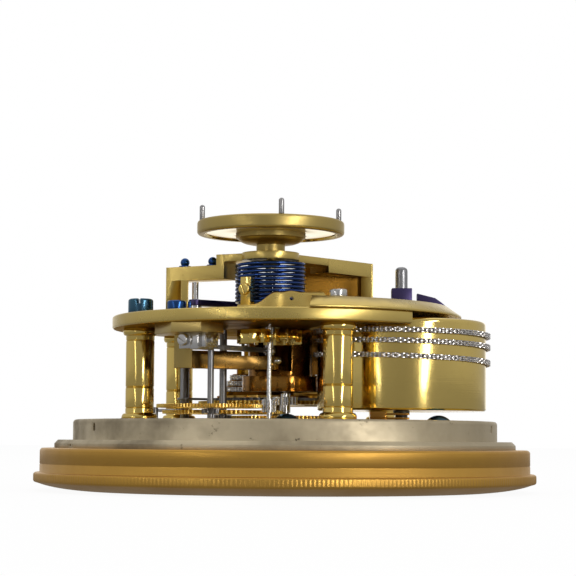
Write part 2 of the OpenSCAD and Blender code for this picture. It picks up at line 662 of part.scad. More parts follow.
// Centre, third, fourth and escape arbors, each with its pinion, and their wheels
centre_r = 1;
pot_foot_r = 9.4;
pot_foot_h = 3.7;
relief_r = impulse_r + 0.8;
module centre_pot() {
    color("darkgoldenrod") difference() {
        at(at_pot, z_pot) rotate_extrude($fn = 96)
            polygon([[0, 0], [pot_foot_r, 0], [pot_foot_r, pot_foot_h], [pot_r, pot_foot_h],
                     [pot_r, z_top - z_pot], [pot_r - 1.2, z_top - z_pot], [pot_r - 1.2, 1.6], [0, 1.6]]);
        at(at_centre, z_pot - 1) cylinder(r = pivot_r + fit, h = 4, $fn = 32);
        at(at_staff, z_pot + pot_foot_h + 1.1) cylinder(r = relief_r, h = pillar_h, $fn = 64);
    }
}
module centre_arbor() {
    color("lightsteelblue") at(at_centre, 0) {
        rod(z_minute_hand - 0.4, z_centre + wheel_t + 1, centre_r);
        rod(z_centre + wheel_t + 0.9, z_great - 0.2, centre_r + 0.3);
        rod(z_pot - 0.8, z_pot + 1.4, pivot_r);
        translate([0, 0, z_great - 0.25]) pinion(centre_leaves, great_mod, centre_leaf_h);
        rod(z_great + 0.2, z_pot - 0.4, centre_r + 0.2);
    }
}
centre_turn = mesh_turn(at_third, at_centre, 0, third_leaves, centre_teeth);
module centre_wheel() {
    color("gold") at(at_centre, z_centre) rotate(centre_turn)
        train_wheel(centre_teeth, centre_mod, wheel_t, centre_r + seat, 3.2, 5, 1.3, 2);
}
module third_arbor() {
    color("slategray") at(at_third, 0) {
        rod(z_plate + 0.2, z_train + 0.4, pivot_r);
        translate([0, 0, z_centre - leaf_over - 0.1])
            pinion(third_leaves, centre_mod, wheel_t + 2 * leaf_over + 0.1);
        rod(z_train + 0.3, z_top - 0.3, 0.9);
        rod(z_top - 0.4, z_deck - 0.2, pivot_r);
    }
}
third_turn = mesh_turn(at_fourth, at_third, 0, fourth_leaves, third_teeth);
module third_wheel() {
    color("gold") at(at_third, z_third) rotate(third_turn)
        train_wheel(third_teeth, third_mod, wheel_t, 0.9 + seat, 2.8, 5, 1.2, 1.9);
}
module fourth_arbor() {
    color("slategray") at(at_fourth, 0) {
        rod(z_hands + 0.1, z_train + 0.4, pivot_r);
        rod(z_train + 0.3, z_top - 0.3, 0.75);
        translate([0, 0, z_third - leaf_over]) pinion(fourth_leaves, third_mod, wheel_t + 2 * leaf_over);
        rod(z_top - 0.4, z_deck - 0.2, pivot_r);
    }
}
module fourth_wheel() {
    color("gold") at(at_fourth, z_fourth)
        train_wheel(fourth_teeth, fourth_mod, wheel_t, 0.75 + seat, 2.6, 5, 1.1, 1.7);
}
escape_leaf_turn = mesh_turn(at_fourth, at_escape, 0, fourth_teeth, escape_leaves);
module escape_arbor() {
    color("white") at(at_escape, 0) {
        rod(z_plate + 0.2, z_train + 0.4, pivot_r - 0.1);
        rod(z_train + 0.3, z_top - 0.3, 0.55);
        rotate(escape_leaf_turn) translate([0, 0, z_fourth - 1])
            pinion(escape_leaves, fourth_mod, wheel_t + 2.2);
        rod(z_top - 0.4, z_deck - 0.2, pivot_r - 0.1);
    }
}
escape_web = 1.2;
module escape_wheel() {
    rim = escape_r - 1.7;
    p = 360 / escape_teeth;
    color("gold") at(at_escape, z_escape) {
        translate([0, 0, escape_web]) linear_extrude(0.8) difference() {
            circle(r = rim, $fn = 64);
            crossed(rim - 1.1, 1.8, 4, 0.9);
            circle(r = 0.55 + seat, $fn = 32);
        }
        linear_extrude(escape_tooth_h) for (i = [0:escape_teeth - 1]) rotate(i * p)
            polygon([polar(rim - 0.5, 0), polar(escape_r, -0.34 * p), polar(escape_r, -0.30 * p),
                     polar(rim + 0.4, 0.22 * p), polar(rim - 0.5, 0.4 * p)]);
    }
}

// Potence under the top plate: it holds the staff's lower jewel and the detent
detent_dir = -90 - asin((escape_r + 0.55) / escape_depth);
stone_at = sqrt(escape_depth * escape_depth - (escape_r + 0.55) * (escape_r + 0.55));
potence_t = 2.4;
z_potence = z_top - potence_t;
z_jewel = z_escape - 2.4;
leg_at = [-24.4, -19.7];
module potence() {
    span = at_staff - leg_at;
    reach = norm(span);
    leg_w = 4.2;
    color("goldenrod") difference() {
        union() {
            translate([0, 0, z_potence]) linear_extrude(potence_t)
                polygon([[-31, -17.6], [-31, -24], [-26.5, -33.5], [-19.5, -37], [-14.5, -31.5],
                         [-14.5, -26], [-20, -17.6]]);
            translate([leg_at[0] - leg_w / 2, leg_at[1] - leg_w / 2, z_jewel - 3.2])
                cube([leg_w, leg_w, z_top - z_jewel + 3.2]);
            at(leg_at, z_jewel - 3.2) rotate(bearing_of(span)) {
                translate([0, -leg_w / 2, 0]) cube([reach - 1, leg_w, 3.2]);
                translate([0, -leg_w / 2, 3]) cube([reach - 8, leg_w, 1.2]);
            }
            at(at_staff, z_jewel - 3.2) cylinder(r = staff_hole_r, h = 3.2, $fn = 48);
        }
        at(at_staff, z_jewel - 4) cylinder(r = pivot_r - 0.1 + fit, h = 5, $fn = 32);
        at(at_fourth, z_potence - 1) cylinder(r = 1.4, h = potence_t + 2, $fn = 32);
    }
}
foot_from = 21.7;
foot_len = 5.8;
module potence_screws() {
    color("silver") {
        at(at_staff, z_potence - 1.6) rotate(detent_dir) {
            translate([foot_from + foot_len + seat, 2.9 - 5.8, 0]) rotate([0, 90, 0])
                slotted_head(1.45, 1.1, 0.25, 0.4, 60);
            translate([foot_from + 2.8, 2.65 + seat, 0]) rotate([-90, 0, 0])
                cylinder(r = 1.2, h = 1, $fn = 6);
        }
        at(at_staff, z_jewel - 1.3) rotate(-75) {
            translate([staff_hole_r, 0, 0]) rotate([0, 90, 0]) cylinder(r = 0.35, h = 4.2, $fn = 24);
            translate([staff_hole_r + 4.8, 0, 0]) sphere(r = 1, $fn = 32);
        }
        translate([-22.9, -22, z_deck]) cylinder(r = 0.4, h = 2.6, $fn = 24);
    }
    color("midnightblue") translate([-26, -22, z_deck]) slotted_head(2.25, 2.8, 0.5, 0.6, 10);
}
module detent_foot() {
    color("dimgray") at(at_staff, 0) rotate(detent_dir) {
        translate([foot_from, -1.1, z_escape - 1.7]) cube([foot_len, 2.2, z_potence - z_escape + 1.7]);
        translate([foot_from + 0.2, 1.1 + seat, z_escape - 1.2])
            cube([foot_len - 1, 1.5, z_potence - z_escape + 1.2]);
        translate([foot_from, -4.7, z_escape - 1.5]) cube([foot_len, 3.58, z_potence - z_escape + 1.5]);
    }
}
module detent() {
    color("black") at(at_staff, z_escape - 1.5) rotate(detent_dir) {
        translate([discharge_r + 0.25, -0.18, 0.1]) cube([3, 0.36, 1]);
        translate([discharge_r + 2, -0.45, 0]) cube([15 - discharge_r, 0.9, 1.2]);
        translate([16.5, -0.12, 0.1]) cube([foot_from - 16.55, 0.24, 1]);
        translate([discharge_r + 0.15, 0.5, 0.3]) cube([8, 0.12, 0.6]);
        translate([9, 0.4, 0.3]) cube([1.5, 0.3, 0.6]);
        translate([stone_at, 0, 0.5]) cylinder(r = 0.4, h = 2.9, $fn = 24);
    }
}

// Balance: staff, rollers, disc, pins and helical spring
staff_r = 1.2;
staff_top_r = 1;
z_disc_hub = z_arch + 0.3;
z_rim = z_arch + 4.4;
module balance_staff() {
    color("lightsteelblue") at(at_staff, 0) rotate_extrude($fn = 48)
        polygon([[0, z_jewel - 2.8], [pivot_r - 0.1, z_jewel - 2.8], [pivot_r - 0.1, z_jewel + 0.2],
                 [staff_r, z_jewel + 0.3], [staff_r, z_arch - bridge_t - 0.2],
                 [staff_top_r, z_arch - bridge_t - 0.2], [staff_top_r, z_rim + 2.6], [0, z_rim + 2.8]]);
}
module rollers() {
    stone_r = escape_depth - escape_r - 0.12;
    color("gray") at(at_staff, 0) rotate(40) {
        translate([0, 0, z_escape - 1.6]) difference() {
            cylinder(r = discharge_r, h = 1.4, $fn = 48);
            translate([0, 0, -1]) cylinder(r = staff_r + seat, h = 4, $fn = 48);
        }
        translate([0, 0, z_escape + 0.8]) linear_extrude(1.6) difference() {
            union() {
                circle(r = impulse_r, $fn = 64);
                polygon([[0, -0.3], [stone_r, -0.3], [stone_r, 0.1], [0, 0.5]]);
            }
            circle(r = staff_r + seat, $fn = 48);
            rotate(14) translate([impulse_r + 0.6, 0]) circle(r = 1.3, $fn = 32);
        }
    }
}
module balance_disc() {
    b = staff_top_r + seat;
    h = balance_rim_h;
    color("gold") at(at_staff, z_rim) rotate_extrude($fn = 128) polygon(concat(
        [[b, z_disc_hub - z_rim], [3.5, z_disc_hub - z_rim], [3.5, -2.4]],
        bend([3.5, -2.4], [7.2, -2.3], [8.1, -0.9], 5),
        [[8.5, -0.8], [8.5, -0.1], [8, 0.1], [8, 1.1], [11.2, 1.1], [11.4, 0.6], [12.4, 0.6], [12.6, 1.1],
         [balance_r - 1.9, 1.3], [balance_r - 1.7, 0.3], [balance_r - 1.4, 0]],
        arc([balance_r - 0.7, 0.7], 0.7, -90, 0, 4), arc([balance_r - 0.7, h - 0.7], 0.7, 0, 90, 4),
        [[balance_r - 1.8, h], [balance_r - 2.1, h - 0.7], [4, h - 0.9], [3.6, h - 0.2], [b, h - 0.2]]));
}
pin_turn = -81;
module balance_pins() {
    color("silver") at(at_staff, z_rim + balance_rim_h)
        for (i = [0:3]) rotate(pin_turn + 90 * i) translate([balance_r - 1.1, 0, 0])
            rotate_extrude($fn = 24) polygon(concat([[0, 0], [0.65, 0]],
                arc([0, balance_pin_h - 0.65], 0.65, 0, 90, 5)));
}
z_spring = z_deck + 2.8;
module spring_collet() {
    color("goldenrod") at(at_staff, z_spring + spring_h - 0.7) difference() {
        cylinder(r = 2.4, h = 1.3, $fn = 48);
        translate([0, 0, -1]) cylinder(r = staff_r + seat, h = 4, $fn = 48);
    }
}
stud_dir = -118;
stud_reach = 11.4;
module balance_spring() {
    per_turn = 20;
    n = spring_turns * per_turn;
    lead = 10;
    tail = 15;
    function way(i) = let(a = stud_dir + i * 360 / per_turn,
        out = max(0, 1 - i / lead), inn = max(0, (i - n + tail) / tail),
        r = spring_r + (stud_reach - 1.25 - spring_r) * out * out
            - (spring_r - 2.4 - spring_wire_r - 0.05) * inn * inn)
        [r * cos(a), r * sin(a), spring_h * min(1, max(0, (i - 4) / (n - 4 - tail / 2)))];
    color("navy") at(at_staff, z_spring)
        sweep([for (i = [0:n]) way(i)], spring_wire_r, 8);
}
module spring_stud() {
    color("goldenrod") at(at_staff, 0) rotate(stud_dir) translate([stud_reach, 0, 0]) {
        translate([-1.1, -1.3, z_deck + 1.3]) cube([2.2, 2.6, 7.2]);
        translate([1.1, 0, z_deck + 5.6]) rotate([0, 90, 0]) slotted_head(1.4, 1, 0.25, 0.4, 20);
    }
}
module stud_arm() {
    arm = concat(arc([0, 0], 12.9, -128, -48, 10), [[13.2, -13.8], [11.4, -9.6]],
                 arc([0, 0], 9.7, -48, -128, 10));
    color("gold") at(at_staff, z_deck) difference() {
        union() {
            linear_extrude(1.28) polygon(arm);
            intersection() {
                translate([0, 0, 0.9]) linear_extrude(6)
                    polygon(concat(arc([0, 0], 12.6, -112, -40, 16), arc([0, 0], 10, -40, -112, 16)));
                rotate(-75) translate([8, 0, 0]) rotate([90, 0, 90]) linear_extrude(6) polygon(concat(
                    [[-5.2, 0.8], [-5.2, 2.1], [-4, 2.3], [-3, 2.7], [-2.3, 3.3]],
                    arc([0, 3.45], 1.85, 160, 20, 9), [[2.4, 3.1], [3.2, 2.5], [4.4, 2.3], [4.4, 0.8]]));
            }
            translate([0, 0, 1]) linear_extrude(1.6)
                polygon([polar(12.6, -60), [12.9, -13.5], [11.3, -9.9], polar(10, -50), polar(10, -60)]);
        }
        rotate(-75) translate([9, 0, 3.4]) rotate([0, 90, 0]) cylinder(r = 0.4, h = 5, $fn = 24);
    }
}

// Balance bridge: two arms from the staff back to two feet on the top plate
bridge_w = 6;
left_foot = [-28, 1.5];
right_foot = [20.8, 16];
module balance_bridge() {
    to_left = left_foot - at_staff;
    to_right = right_foot - at_staff;
    reach = norm(to_left);
    block_w = bridge_w + 0.1;
    color("gold") {
        at(at_staff, z_arch - bridge_t) linear_extrude(bridge_t) difference() {
            union() {
                circle(r = 7, $fn = 64);
                rotate(bearing_of(to_left)) translate([0, -bridge_w / 2]) square([13, bridge_w]);
                rotate(bearing_of(to_right)) translate([0, -bridge_w / 2]) square([20, bridge_w]);
            }
            circle(r = staff_top_r + fit, $fn = 48);
        }
        at(at_staff, z_arch) rotate(bearing_of(to_left)) translate([0, block_w / 2, 0]) rotate([90, 0, 0])
            linear_extrude(block_w) polygon([[11.5, 0.02], [reach - 11, 0.02], [reach - 11, -2.6],
                                             [reach - 0.1, -2.6], [reach - 0.1, -6], [11.5, -6]]);
        translate([left_foot[0] - 2, left_foot[1] - 3, z_deck]) cube([3.9, 6, bridge_h - 2.65]);
        at(at_staff, z_arch) rotate(bearing_of(to_right)) translate([18.5, -block_w / 2, -3.5])
            cube([norm(to_right) - 19.7, block_w, 3.52]);
        translate([right_foot[0] - 1.4, right_foot[1] - 3.2, z_deck]) cube([3, 4, bridge_h - 0.05]);
    }
}
module bridge_screws() {
    low = z_arch - 2.6;
    color("navy") for (q = [[-25.4, 0.2, low], [-18.3, -3.4, z_arch + 0.02]]) translate([q[0], q[1], q[2]]) {
        cylinder(r = 1.5, h = 0.5, $fn = 32);
        translate([0, 0, 0.4]) rotate_extrude($fn = 32)
            polygon(concat([[0, 0], [0.8, 0]], arc([0, 0.95], 1.15, -40, 90, 8)));
    }
}
// Blued lever that stops the balance, on a post beside the left foot
post_at = [-22.4, -6.5];
lever_rise = 2.7;
module lever_post() {
    color("goldenrod") {
        at(post_at, 0) {
            rod(z_deck, z_deck + lever_rise, 1.6);
            rod(z_deck + 0.5, z_deck + 8.6, 0.8);
        }
        translate([-25.9, -7.9, z_deck]) cube([1.8, 2.6, 8.9]);
    }
}
module stop_lever() {
    color("indigo") at(post_at, z_deck + lever_rise + seat) difference() {
        linear_extrude(1.5) union() {
            circle(r = 1.6, $fn = 32);
            polygon([[0, -1.4], [9, 3.4], [20, 5.6], [27, 5.9], [27, 7], [20, 7.4], [8, 6.2], [-0.8, 1.3]]);
        }
        translate([0, 0, -1]) cylinder(r = 0.8 + fit, h = 4, $fn = 32);
    }
}

// Motion work and hands under the dial
cannon_n = 14;
minute_n = 42;
minute_leaves = 12;
hour_n = 48;
cannon_mod = 2 * minute_depth / (cannon_n + minute_n);
hour_mod = 2 * minute_depth / (minute_leaves + hour_n);
cannon_r = 1.6;
hour_pipe_r = 2.3;
z_cannon = z_plate - 2.1;
z_hands = bezel_h - dial_t - 0.75;
z_minute_hand = z_hands - 1.3;
z_minute_wheel = z_plate - 1.8;
z_hour_wheel = bezel_h + 0.4;
post_r = 0.8;
cannon_turn = 0;
minute_turn = mesh_turn(at_centre, at_minute, cannon_turn, cannon_n, minute_n);
hour_turn = mesh_turn(at_minute, at_centre, 0, minute_leaves, hour_n);
// A tapering hand with a round boss
module hand(r_boss, bore, length, wide, tail) {
    difference() {
        union() {
            circle(r = r_boss, $fn = 32);
            polygon([[-tail, -wide * 0.45], [0, -wide * 0.5], [length * 0.72, -wide * 0.32],
                     [length * 0.8, -wide * 0.75], [length, 0], [length * 0.8, wide * 0.75],
                     [length * 0.72, wide * 0.32], [0, wide * 0.5], [-tail, wide * 0.45]]);
        }
        circle(r = bore, $fn = 32);
    }
}
module motion_work() {
    color("goldenrod") {
        at(at_minute, 0) difference() {
            union() {
                translate([0, 0, z_minute_wheel]) rotate(minute_turn) linear_extrude(0.7)
                    wheel_outline(minute_n, cannon_mod);
                translate([0, 0, z_hour_wheel - 0.1])
                    pinion(minute_leaves, hour_mod, z_minute_wheel - z_hour_wheel + 0.2);
            }
            translate([0, 0, bezel_h]) cylinder(r = post_r + fit, h = dial_gap, $fn = 32);
        }
    }
}
module hour_wheel() {
    color("goldenrod") at(at_centre, 0) difference() {
        union() {
            translate([0, 0, z_hour_wheel]) rotate(hour_turn) linear_extrude(0.7)
                wheel_outline(hour_n, hour_mod);
            rod(z_hands - 0.6, z_hour_wheel + 0.1, hour_pipe_r);
        }
        translate([0, 0, z_hands - 2]) cylinder(r = cannon_r + 0.06, h = 6, $fn = 48);
    }
}
module hour_hand() {
    color("midnightblue") translate([0, 0, z_hands - 0.55]) rotate(96.5) linear_extrude(0.3)
        hand(3.4, hour_pipe_r + seat, 27, 2.2, 0);
}
module reserve_wheel() {
    color("goldenrod") at(at_reserve, 0) {
        translate([0, 0, z_reserve]) linear_extrude(0.7) difference() {
            wheel_outline(reserve_teeth, reserve_mod);
            crossed(reserve_teeth * reserve_mod / 2 - 2.4, 3, 5, 1.6);
        }
        rod(z_hands + 0.1, z_plate + 1, pivot_r);
        color("midnightblue") translate([0, 0, z_hands + 0.1]) rotate(20) linear_extrude(0.3)
            hand(1.3, pivot_r + 0.01, 9, 0.8, 2.5);
    }
}
module seconds_hand() {
    color("midnightblue") at(at_fourth, z_hands + 0.1) rotate(250) linear_extrude(0.3)
        hand(1.3, pivot_r + 0.01, 11, 0.8, 3.5);
}
module cannon_pinion() {
    color("lightsteelblue") at(at_centre, 0) difference() {
        union() {
            translate([0, 0, z_cannon]) pinion(cannon_n, cannon_mod, 1.6);
            rod(z_minute_hand + 0.1, z_cannon + 0.1, cannon_r);
        }
        translate([0, 0, z_minute_hand - 1]) cylinder(r = centre_r + seat, h = 9, $fn = 48);
    }
}
module minute_hand() {
    color("midnightblue") at(at_centre, z_minute_hand - 0.25) rotate(222) linear_extrude(0.3)
        hand(2.3, centre_r + seat, 39, 1.6, 7);
}

bezel();
glass_ring();
glass();
dial_ring();
dial();
pillar_plate();
pillars();
top_plate();
barrel_bridge();
pillar_screws();
bridge_nuts();
plate_screws();
barrel();
barrel_cover();
mainspring();
barrel_arbor();
setup_square();
setup_click();
fusee();
fusee_arbor();
maintaining_ratchet();
great_wheel();
maintaining_pawl();
pawl_spring();
barrel_cock();
chain_on_barrel();
chain_run();
chain_on_fusee();
centre_pot();
centre_arbor();
centre_wheel();
third_arbor();
third_wheel();
fourth_arbor();
fourth_wheel();
escape_arbor();
escape_wheel();
potence();
potence_screws();
detent_foot();
detent();
balance_staff();
rollers();
balance_disc();
balance_pins();
spring_collet();
balance_spring();
spring_stud();
stud_arm();
balance_bridge();
bridge_screws();
stop_lever();
lever_post();
cannon_pinion();
minute_hand();
motion_work();
hour_wheel();
hour_hand();
reserve_wheel();
seconds_hand();
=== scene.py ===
import json
import math
import bpy
import bmesh
from mathutils import Matrix, Vector


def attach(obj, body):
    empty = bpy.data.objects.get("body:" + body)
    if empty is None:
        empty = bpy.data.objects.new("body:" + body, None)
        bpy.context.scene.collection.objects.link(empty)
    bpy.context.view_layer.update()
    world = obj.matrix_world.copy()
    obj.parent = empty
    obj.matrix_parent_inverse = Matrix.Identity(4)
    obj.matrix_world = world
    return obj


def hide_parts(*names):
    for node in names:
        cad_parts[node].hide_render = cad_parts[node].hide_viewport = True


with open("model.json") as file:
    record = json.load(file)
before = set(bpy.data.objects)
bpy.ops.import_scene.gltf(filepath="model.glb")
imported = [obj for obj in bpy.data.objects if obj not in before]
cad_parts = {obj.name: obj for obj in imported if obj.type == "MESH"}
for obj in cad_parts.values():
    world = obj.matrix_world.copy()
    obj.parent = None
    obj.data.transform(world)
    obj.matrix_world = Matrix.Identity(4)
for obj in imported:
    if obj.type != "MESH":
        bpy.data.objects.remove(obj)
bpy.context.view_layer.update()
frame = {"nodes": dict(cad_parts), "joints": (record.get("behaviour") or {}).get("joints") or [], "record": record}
nodes = frame["nodes"]
MM = 0.001

# The studio: a pale floor, a white room behind and a darker one in front, so that the polished
# brass has something to show, two tall soft boxes that draw the upright highlights on it, and a
# wide one high above.
camera_back, camera_rise, tip_up, roll = 450, 12.4, 4.83, 0.35
camera = bpy.data.objects.new("camera", bpy.data.cameras.new("camera"))
camera.data.sensor_width = 36
camera.data.lens = 112.5
camera.data.clip_start = 0.01
camera.matrix_world = (Matrix.Translation(Vector((0.5, -camera_back, camera_rise)) * MM)
                       @ Matrix.Rotation(math.radians(90 + tip_up), 4, "X")
                       @ Matrix.Rotation(math.radians(roll), 4, "Z"))
bpy.context.scene.collection.objects.link(camera)
bpy.context.scene.camera = camera
bpy.context.scene.view_settings.view_transform = "Standard"


def put_node(tree, kind, settings=None, links=None, **at):
    """Adds one node, sets its plain attributes and sockets, and links its inputs."""
    made = tree.nodes.new(kind)
    for key, value in at.items():
        setattr(made, key, value)
    for key, value in (settings or {}).items():
        made.inputs[key].default_value = value
    for key, source in (links or {}).items():
        tree.links.new(source, made.inputs[key])
    return made


def mixed(tree, kind, factor, a, b):
    """The result of a Mix node; each input is a socket to link or a plain value."""
    made = tree.nodes.new("ShaderNodeMix")
    made.data_type = kind
    first = {"FLOAT": 2, "VECTOR": 4, "RGBA": 6}[kind]
    for key, value in ((0, factor), (first, a), (first + 1, b)):
        if isinstance(value, bpy.types.NodeSocket):
            tree.links.new(value, made.inputs[key])
        else:
            made.inputs[key].default_value = value
    return made.outputs[first // 2 - 1]


room = bpy.data.worlds.new("room")
bpy.context.scene.world = room
room.use_nodes = True
tree = room.node_tree
tree.nodes.clear()
direction = put_node(tree, "ShaderNodeTexCoord")
split = put_node(tree, "ShaderNodeSeparateXYZ", links={"Vector": direction.outputs["Generated"]})
depth = put_node(tree, "ShaderNodeMapRange", {"From Min": -1.0}, {"Value": split.outputs["Y"]})
walls = put_node(tree, "ShaderNodeValToRGB", links={"Fac": depth.outputs[0]})
# Levels from the camera's side, 0, to straight behind the object, 1
for at, level in ((0.0, 0.33), (0.2, 0.47), (0.5, 0.52), (0.93, 0.48), (0.985, 1.2)):
    stops = walls.color_ramp.elements
    stop = stops.new(at) if 0 < at < 0.985 else stops[-1 if at else 0]
    stop.position, stop.color = at, (level, level, level, 1)
height = put_node(tree, "ShaderNodeMapRange", {"From Min": 0.1, "From Max": 0.9, "To Min": 0.0,
                                               "To Max": 0.08},
                  {"Value": split.outputs["Z"]})
seen = put_node(tree, "ShaderNodeMath", links={0: walls.outputs[0], 1: height.outputs[0]}, operation="ADD")
path = put_node(tree, "ShaderNodeLightPath")
ambient = mixed(tree, "FLOAT", path.outputs["Is Glossy Ray"], 0.85, seen.outputs[0])
white = mixed(tree, "FLOAT", path.outputs["Is Camera Ray"], ambient, 1.0)
back = put_node(tree, "ShaderNodeBackground", {"Color": (1, 1, 1, 1)}, {"Strength": white})
put_node(tree, "ShaderNodeOutputWorld", links={"Surface": back.outputs[0]})


def soft_box(name, bearing, away, rise, width, tall, power, tint):
    """A tall lamp beside the camera; bearing is measured from the camera's side, to the right."""
    lamp = bpy.data.lights.new(name, "AREA")
    lamp.shape = "RECTANGLE"
    lamp.size, lamp.size_y = width, tall
    lamp.energy = power
    lamp.color = tint
    held = bpy.data.objects.new(name, lamp)
    place = Vector((math.sin(math.radians(bearing)) * away, -math.cos(math.radians(bearing)) * away, rise))
    aim = Vector((0, 0, 0.035)) - place
    held.matrix_world = Matrix.Translation(place) @ aim.to_track_quat("-Z", "Z").to_matrix().to_4x4()
    bpy.context.scene.collection.objects.link(held)


soft_box("box_right", 35, 0.75, 0.16, 0.08, 0.6, 2.4, (1, 0.99, 0.97))
soft_box("box_left", -40, 0.75, 0.16, 0.025, 0.6, 0.35, (1, 0.99, 0.97))
soft_box("box_top", 180, 0.3, 0.9, 0.9, 0.9, 1.2, (1, 1, 1))

ground = bpy.data.meshes.new("floor")
half_floor = 3.0
ground.from_pydata([(-half_floor, -half_floor, 0), (half_floor, -half_floor, 0), (half_floor, half_floor, 0),
                    (-half_floor, half_floor, 0)], [], [(0, 1, 2, 3)])
floor = bpy.data.objects.new("floor", ground)
floor.location.z = -0.0002
bpy.context.scene.collection.objects.link(floor)
pale = bpy.data.materials.new("pale floor")
pale.use_nodes = True
tree = pale.node_tree
plain = tree.nodes["Principled BSDF"]
plain.inputs["Base Color"].default_value = (0.86, 0.86, 0.86, 1)
plain.inputs["Roughness"].default_value = 0.9
plain.inputs["Specular IOR Level"].default_value = 0.1
path = put_node(tree, "ShaderNodeLightPath")
where = put_node(tree, "ShaderNodeSeparateXYZ", links={
    "Vector": put_node(tree, "ShaderNodeTexCoord").outputs["Object"]})
# Rays that mirror the floor see it glow: dim in front and to the sides as painted shade, and brighter than white
# behind the object as a painted glow.
fade = put_node(tree, "ShaderNodeMapRange", {"From Min": 0.08, "From Max": 0.5, "To Min": 0.26,
                                             "To Max": 1.25},
                {"Value": where.outputs["Y"]})
aside = put_node(tree, "ShaderNodeMath", links={0: where.outputs["X"]}, operation="ABSOLUTE")
behind = put_node(tree, "ShaderNodeMapRange", {"From Min": 0.12, "From Max": 0.3, "To Min": 1.0,
                                               "To Max": 0.0},
                  {"Value": aside.outputs[0]})
mirrored = mixed(tree, "FLOAT", behind.outputs[0], 0.3, fade.outputs[0])
glow = put_node(tree, "ShaderNodeEmission", {"Color": (1, 1, 1, 1)},
                {"Strength": mixed(tree, "FLOAT", path.outputs["Is Camera Ray"], mirrored, 1.0)})
straight = put_node(tree, "ShaderNodeMath", links={0: path.outputs["Is Camera Ray"],
                                                   1: path.outputs["Is Glossy Ray"]},
                    operation="ADD", use_clamp=True)
share = put_node(tree, "ShaderNodeMath", {1: 0.94}, {0: straight.outputs[0]}, operation="MULTIPLY")
both = put_node(tree, "ShaderNodeMixShader", links={0: share.outputs[0], 1: plain.outputs[0],
                                                    2: glow.outputs[0]})
tree.links.new(both.outputs[0], tree.nodes["Material Output"].inputs["Surface"])
ground.materials.append(pale)

# The bezel: cast brass turned in the lathe, with a coined edge to grip it by. It is lacquered, so
# its gold is deeper than the movement's, and the tool has left fine rings round it.
bezel_r, bezel_h, lip_r, lip_z, lip_half = 60.5, 10.2, 62, 3.1, 1.2
foot_r, view_r, glass_seat_r = 51.5, 49.5, 53.2


def group(name, inputs, outputs):
    """An empty node group with named float, colour or vector sockets."""
    made = bpy.data.node_groups.new(name, "ShaderNodeTree")
    kinds = {float: "NodeSocketFloat", tuple: "NodeSocketColor", Vector: "NodeSocketVector"}
    for key, value in inputs.items():
        socket = made.interface.new_socket(key, in_out="INPUT", socket_type=kinds[type(value)])
        if not isinstance(value, Vector):
            socket.default_value = value
    for key, kind in outputs.items():
        made.interface.new_socket(key, in_out="OUTPUT", socket_type=kinds[kind])
    return made, made.nodes.new("NodeGroupInput"), made.nodes.new("NodeGroupOutput")


# Handled metal: tone drifts in soft clouds, small dark specks of tarnish, and fine scuffs
handled, got, given = group("handled metal", {
    "Metal": (0.7, 0.5, 0.2, 1.0), "Tarnish": (0.3, 0.2, 0.1, 1.0), "Cloud": 60.0, "Drift": 0.2,
    "Specks": 0.2, "Polish": 0.2, "Uneven": 0.1}, {"Color": tuple, "Roughness": float, "Height": float})
where = put_node(handled, "ShaderNodeTexCoord")
cloud = put_node(handled, "ShaderNodeTexNoise", {"Detail": 5.0, "Roughness": 0.6},
                 {"Vector": where.outputs["Object"], "Scale": got.outputs["Cloud"]})
speck_scale = put_node(handled, "ShaderNodeMath", {1: 14.0}, {0: got.outputs["Cloud"]}, operation="MULTIPLY")
speck = put_node(handled, "ShaderNodeTexNoise", {"Detail": 3.0, "Roughness": 0.7},
                 {"Vector": where.outputs["Object"], "Scale": speck_scale.outputs[0]})
speck_mask = put_node(handled, "ShaderNodeMapRange", {"From Min": 0.66, "From Max": 0.78},
                      {"Value": speck.outputs[0]})
cloud_mask = put_node(handled, "ShaderNodeMapRange", {"From Min": 0.4, "From Max": 0.72},
                      {"Value": cloud.outputs[0]})
drifted = put_node(handled, "ShaderNodeMath", links={0: cloud_mask.outputs[0], 1: got.outputs["Drift"]},
                   operation="MULTIPLY")
specked = put_node(handled, "ShaderNodeMath", links={0: speck_mask.outputs[0], 1: got.outputs["Specks"]},
                   operation="MULTIPLY")
dull = put_node(handled, "ShaderNodeMath", links={0: drifted.outputs[0], 1: specked.outputs[0]},
                operation="ADD", use_clamp=True)
handled.links.new(mixed(handled, "RGBA", dull.outputs[0], got.outputs["Metal"], got.outputs["Tarnish"]),
                  given.inputs["Color"])
scuff = put_node(handled, "ShaderNodeTexNoise", {"Scale": 900.0, "Detail": 4.0},
                 {"Vector": where.outputs["Object"]})
scuffed = put_node(handled, "ShaderNodeMath", links={0: scuff.outputs[0], 1: got.outputs["Uneven"]},
                   operation="MULTIPLY")
rough = put_node(handled, "ShaderNodeMath", links={0: got.outputs["Polish"], 1: scuffed.outputs[0]},
                 operation="ADD")
rougher = put_node(handled, "ShaderNodeMath", {1: 0.5}, {0: dull.outputs[0]}, operation="MULTIPLY")
rough = put_node(handled, "ShaderNodeMath", links={0: rough.outputs[0], 1: rougher.outputs[0]},
                 operation="ADD", use_clamp=True)
handled.links.new(rough.outputs[0], given.inputs["Roughness"])
handled.links.new(scuff.outputs[0], given.inputs["Height"])

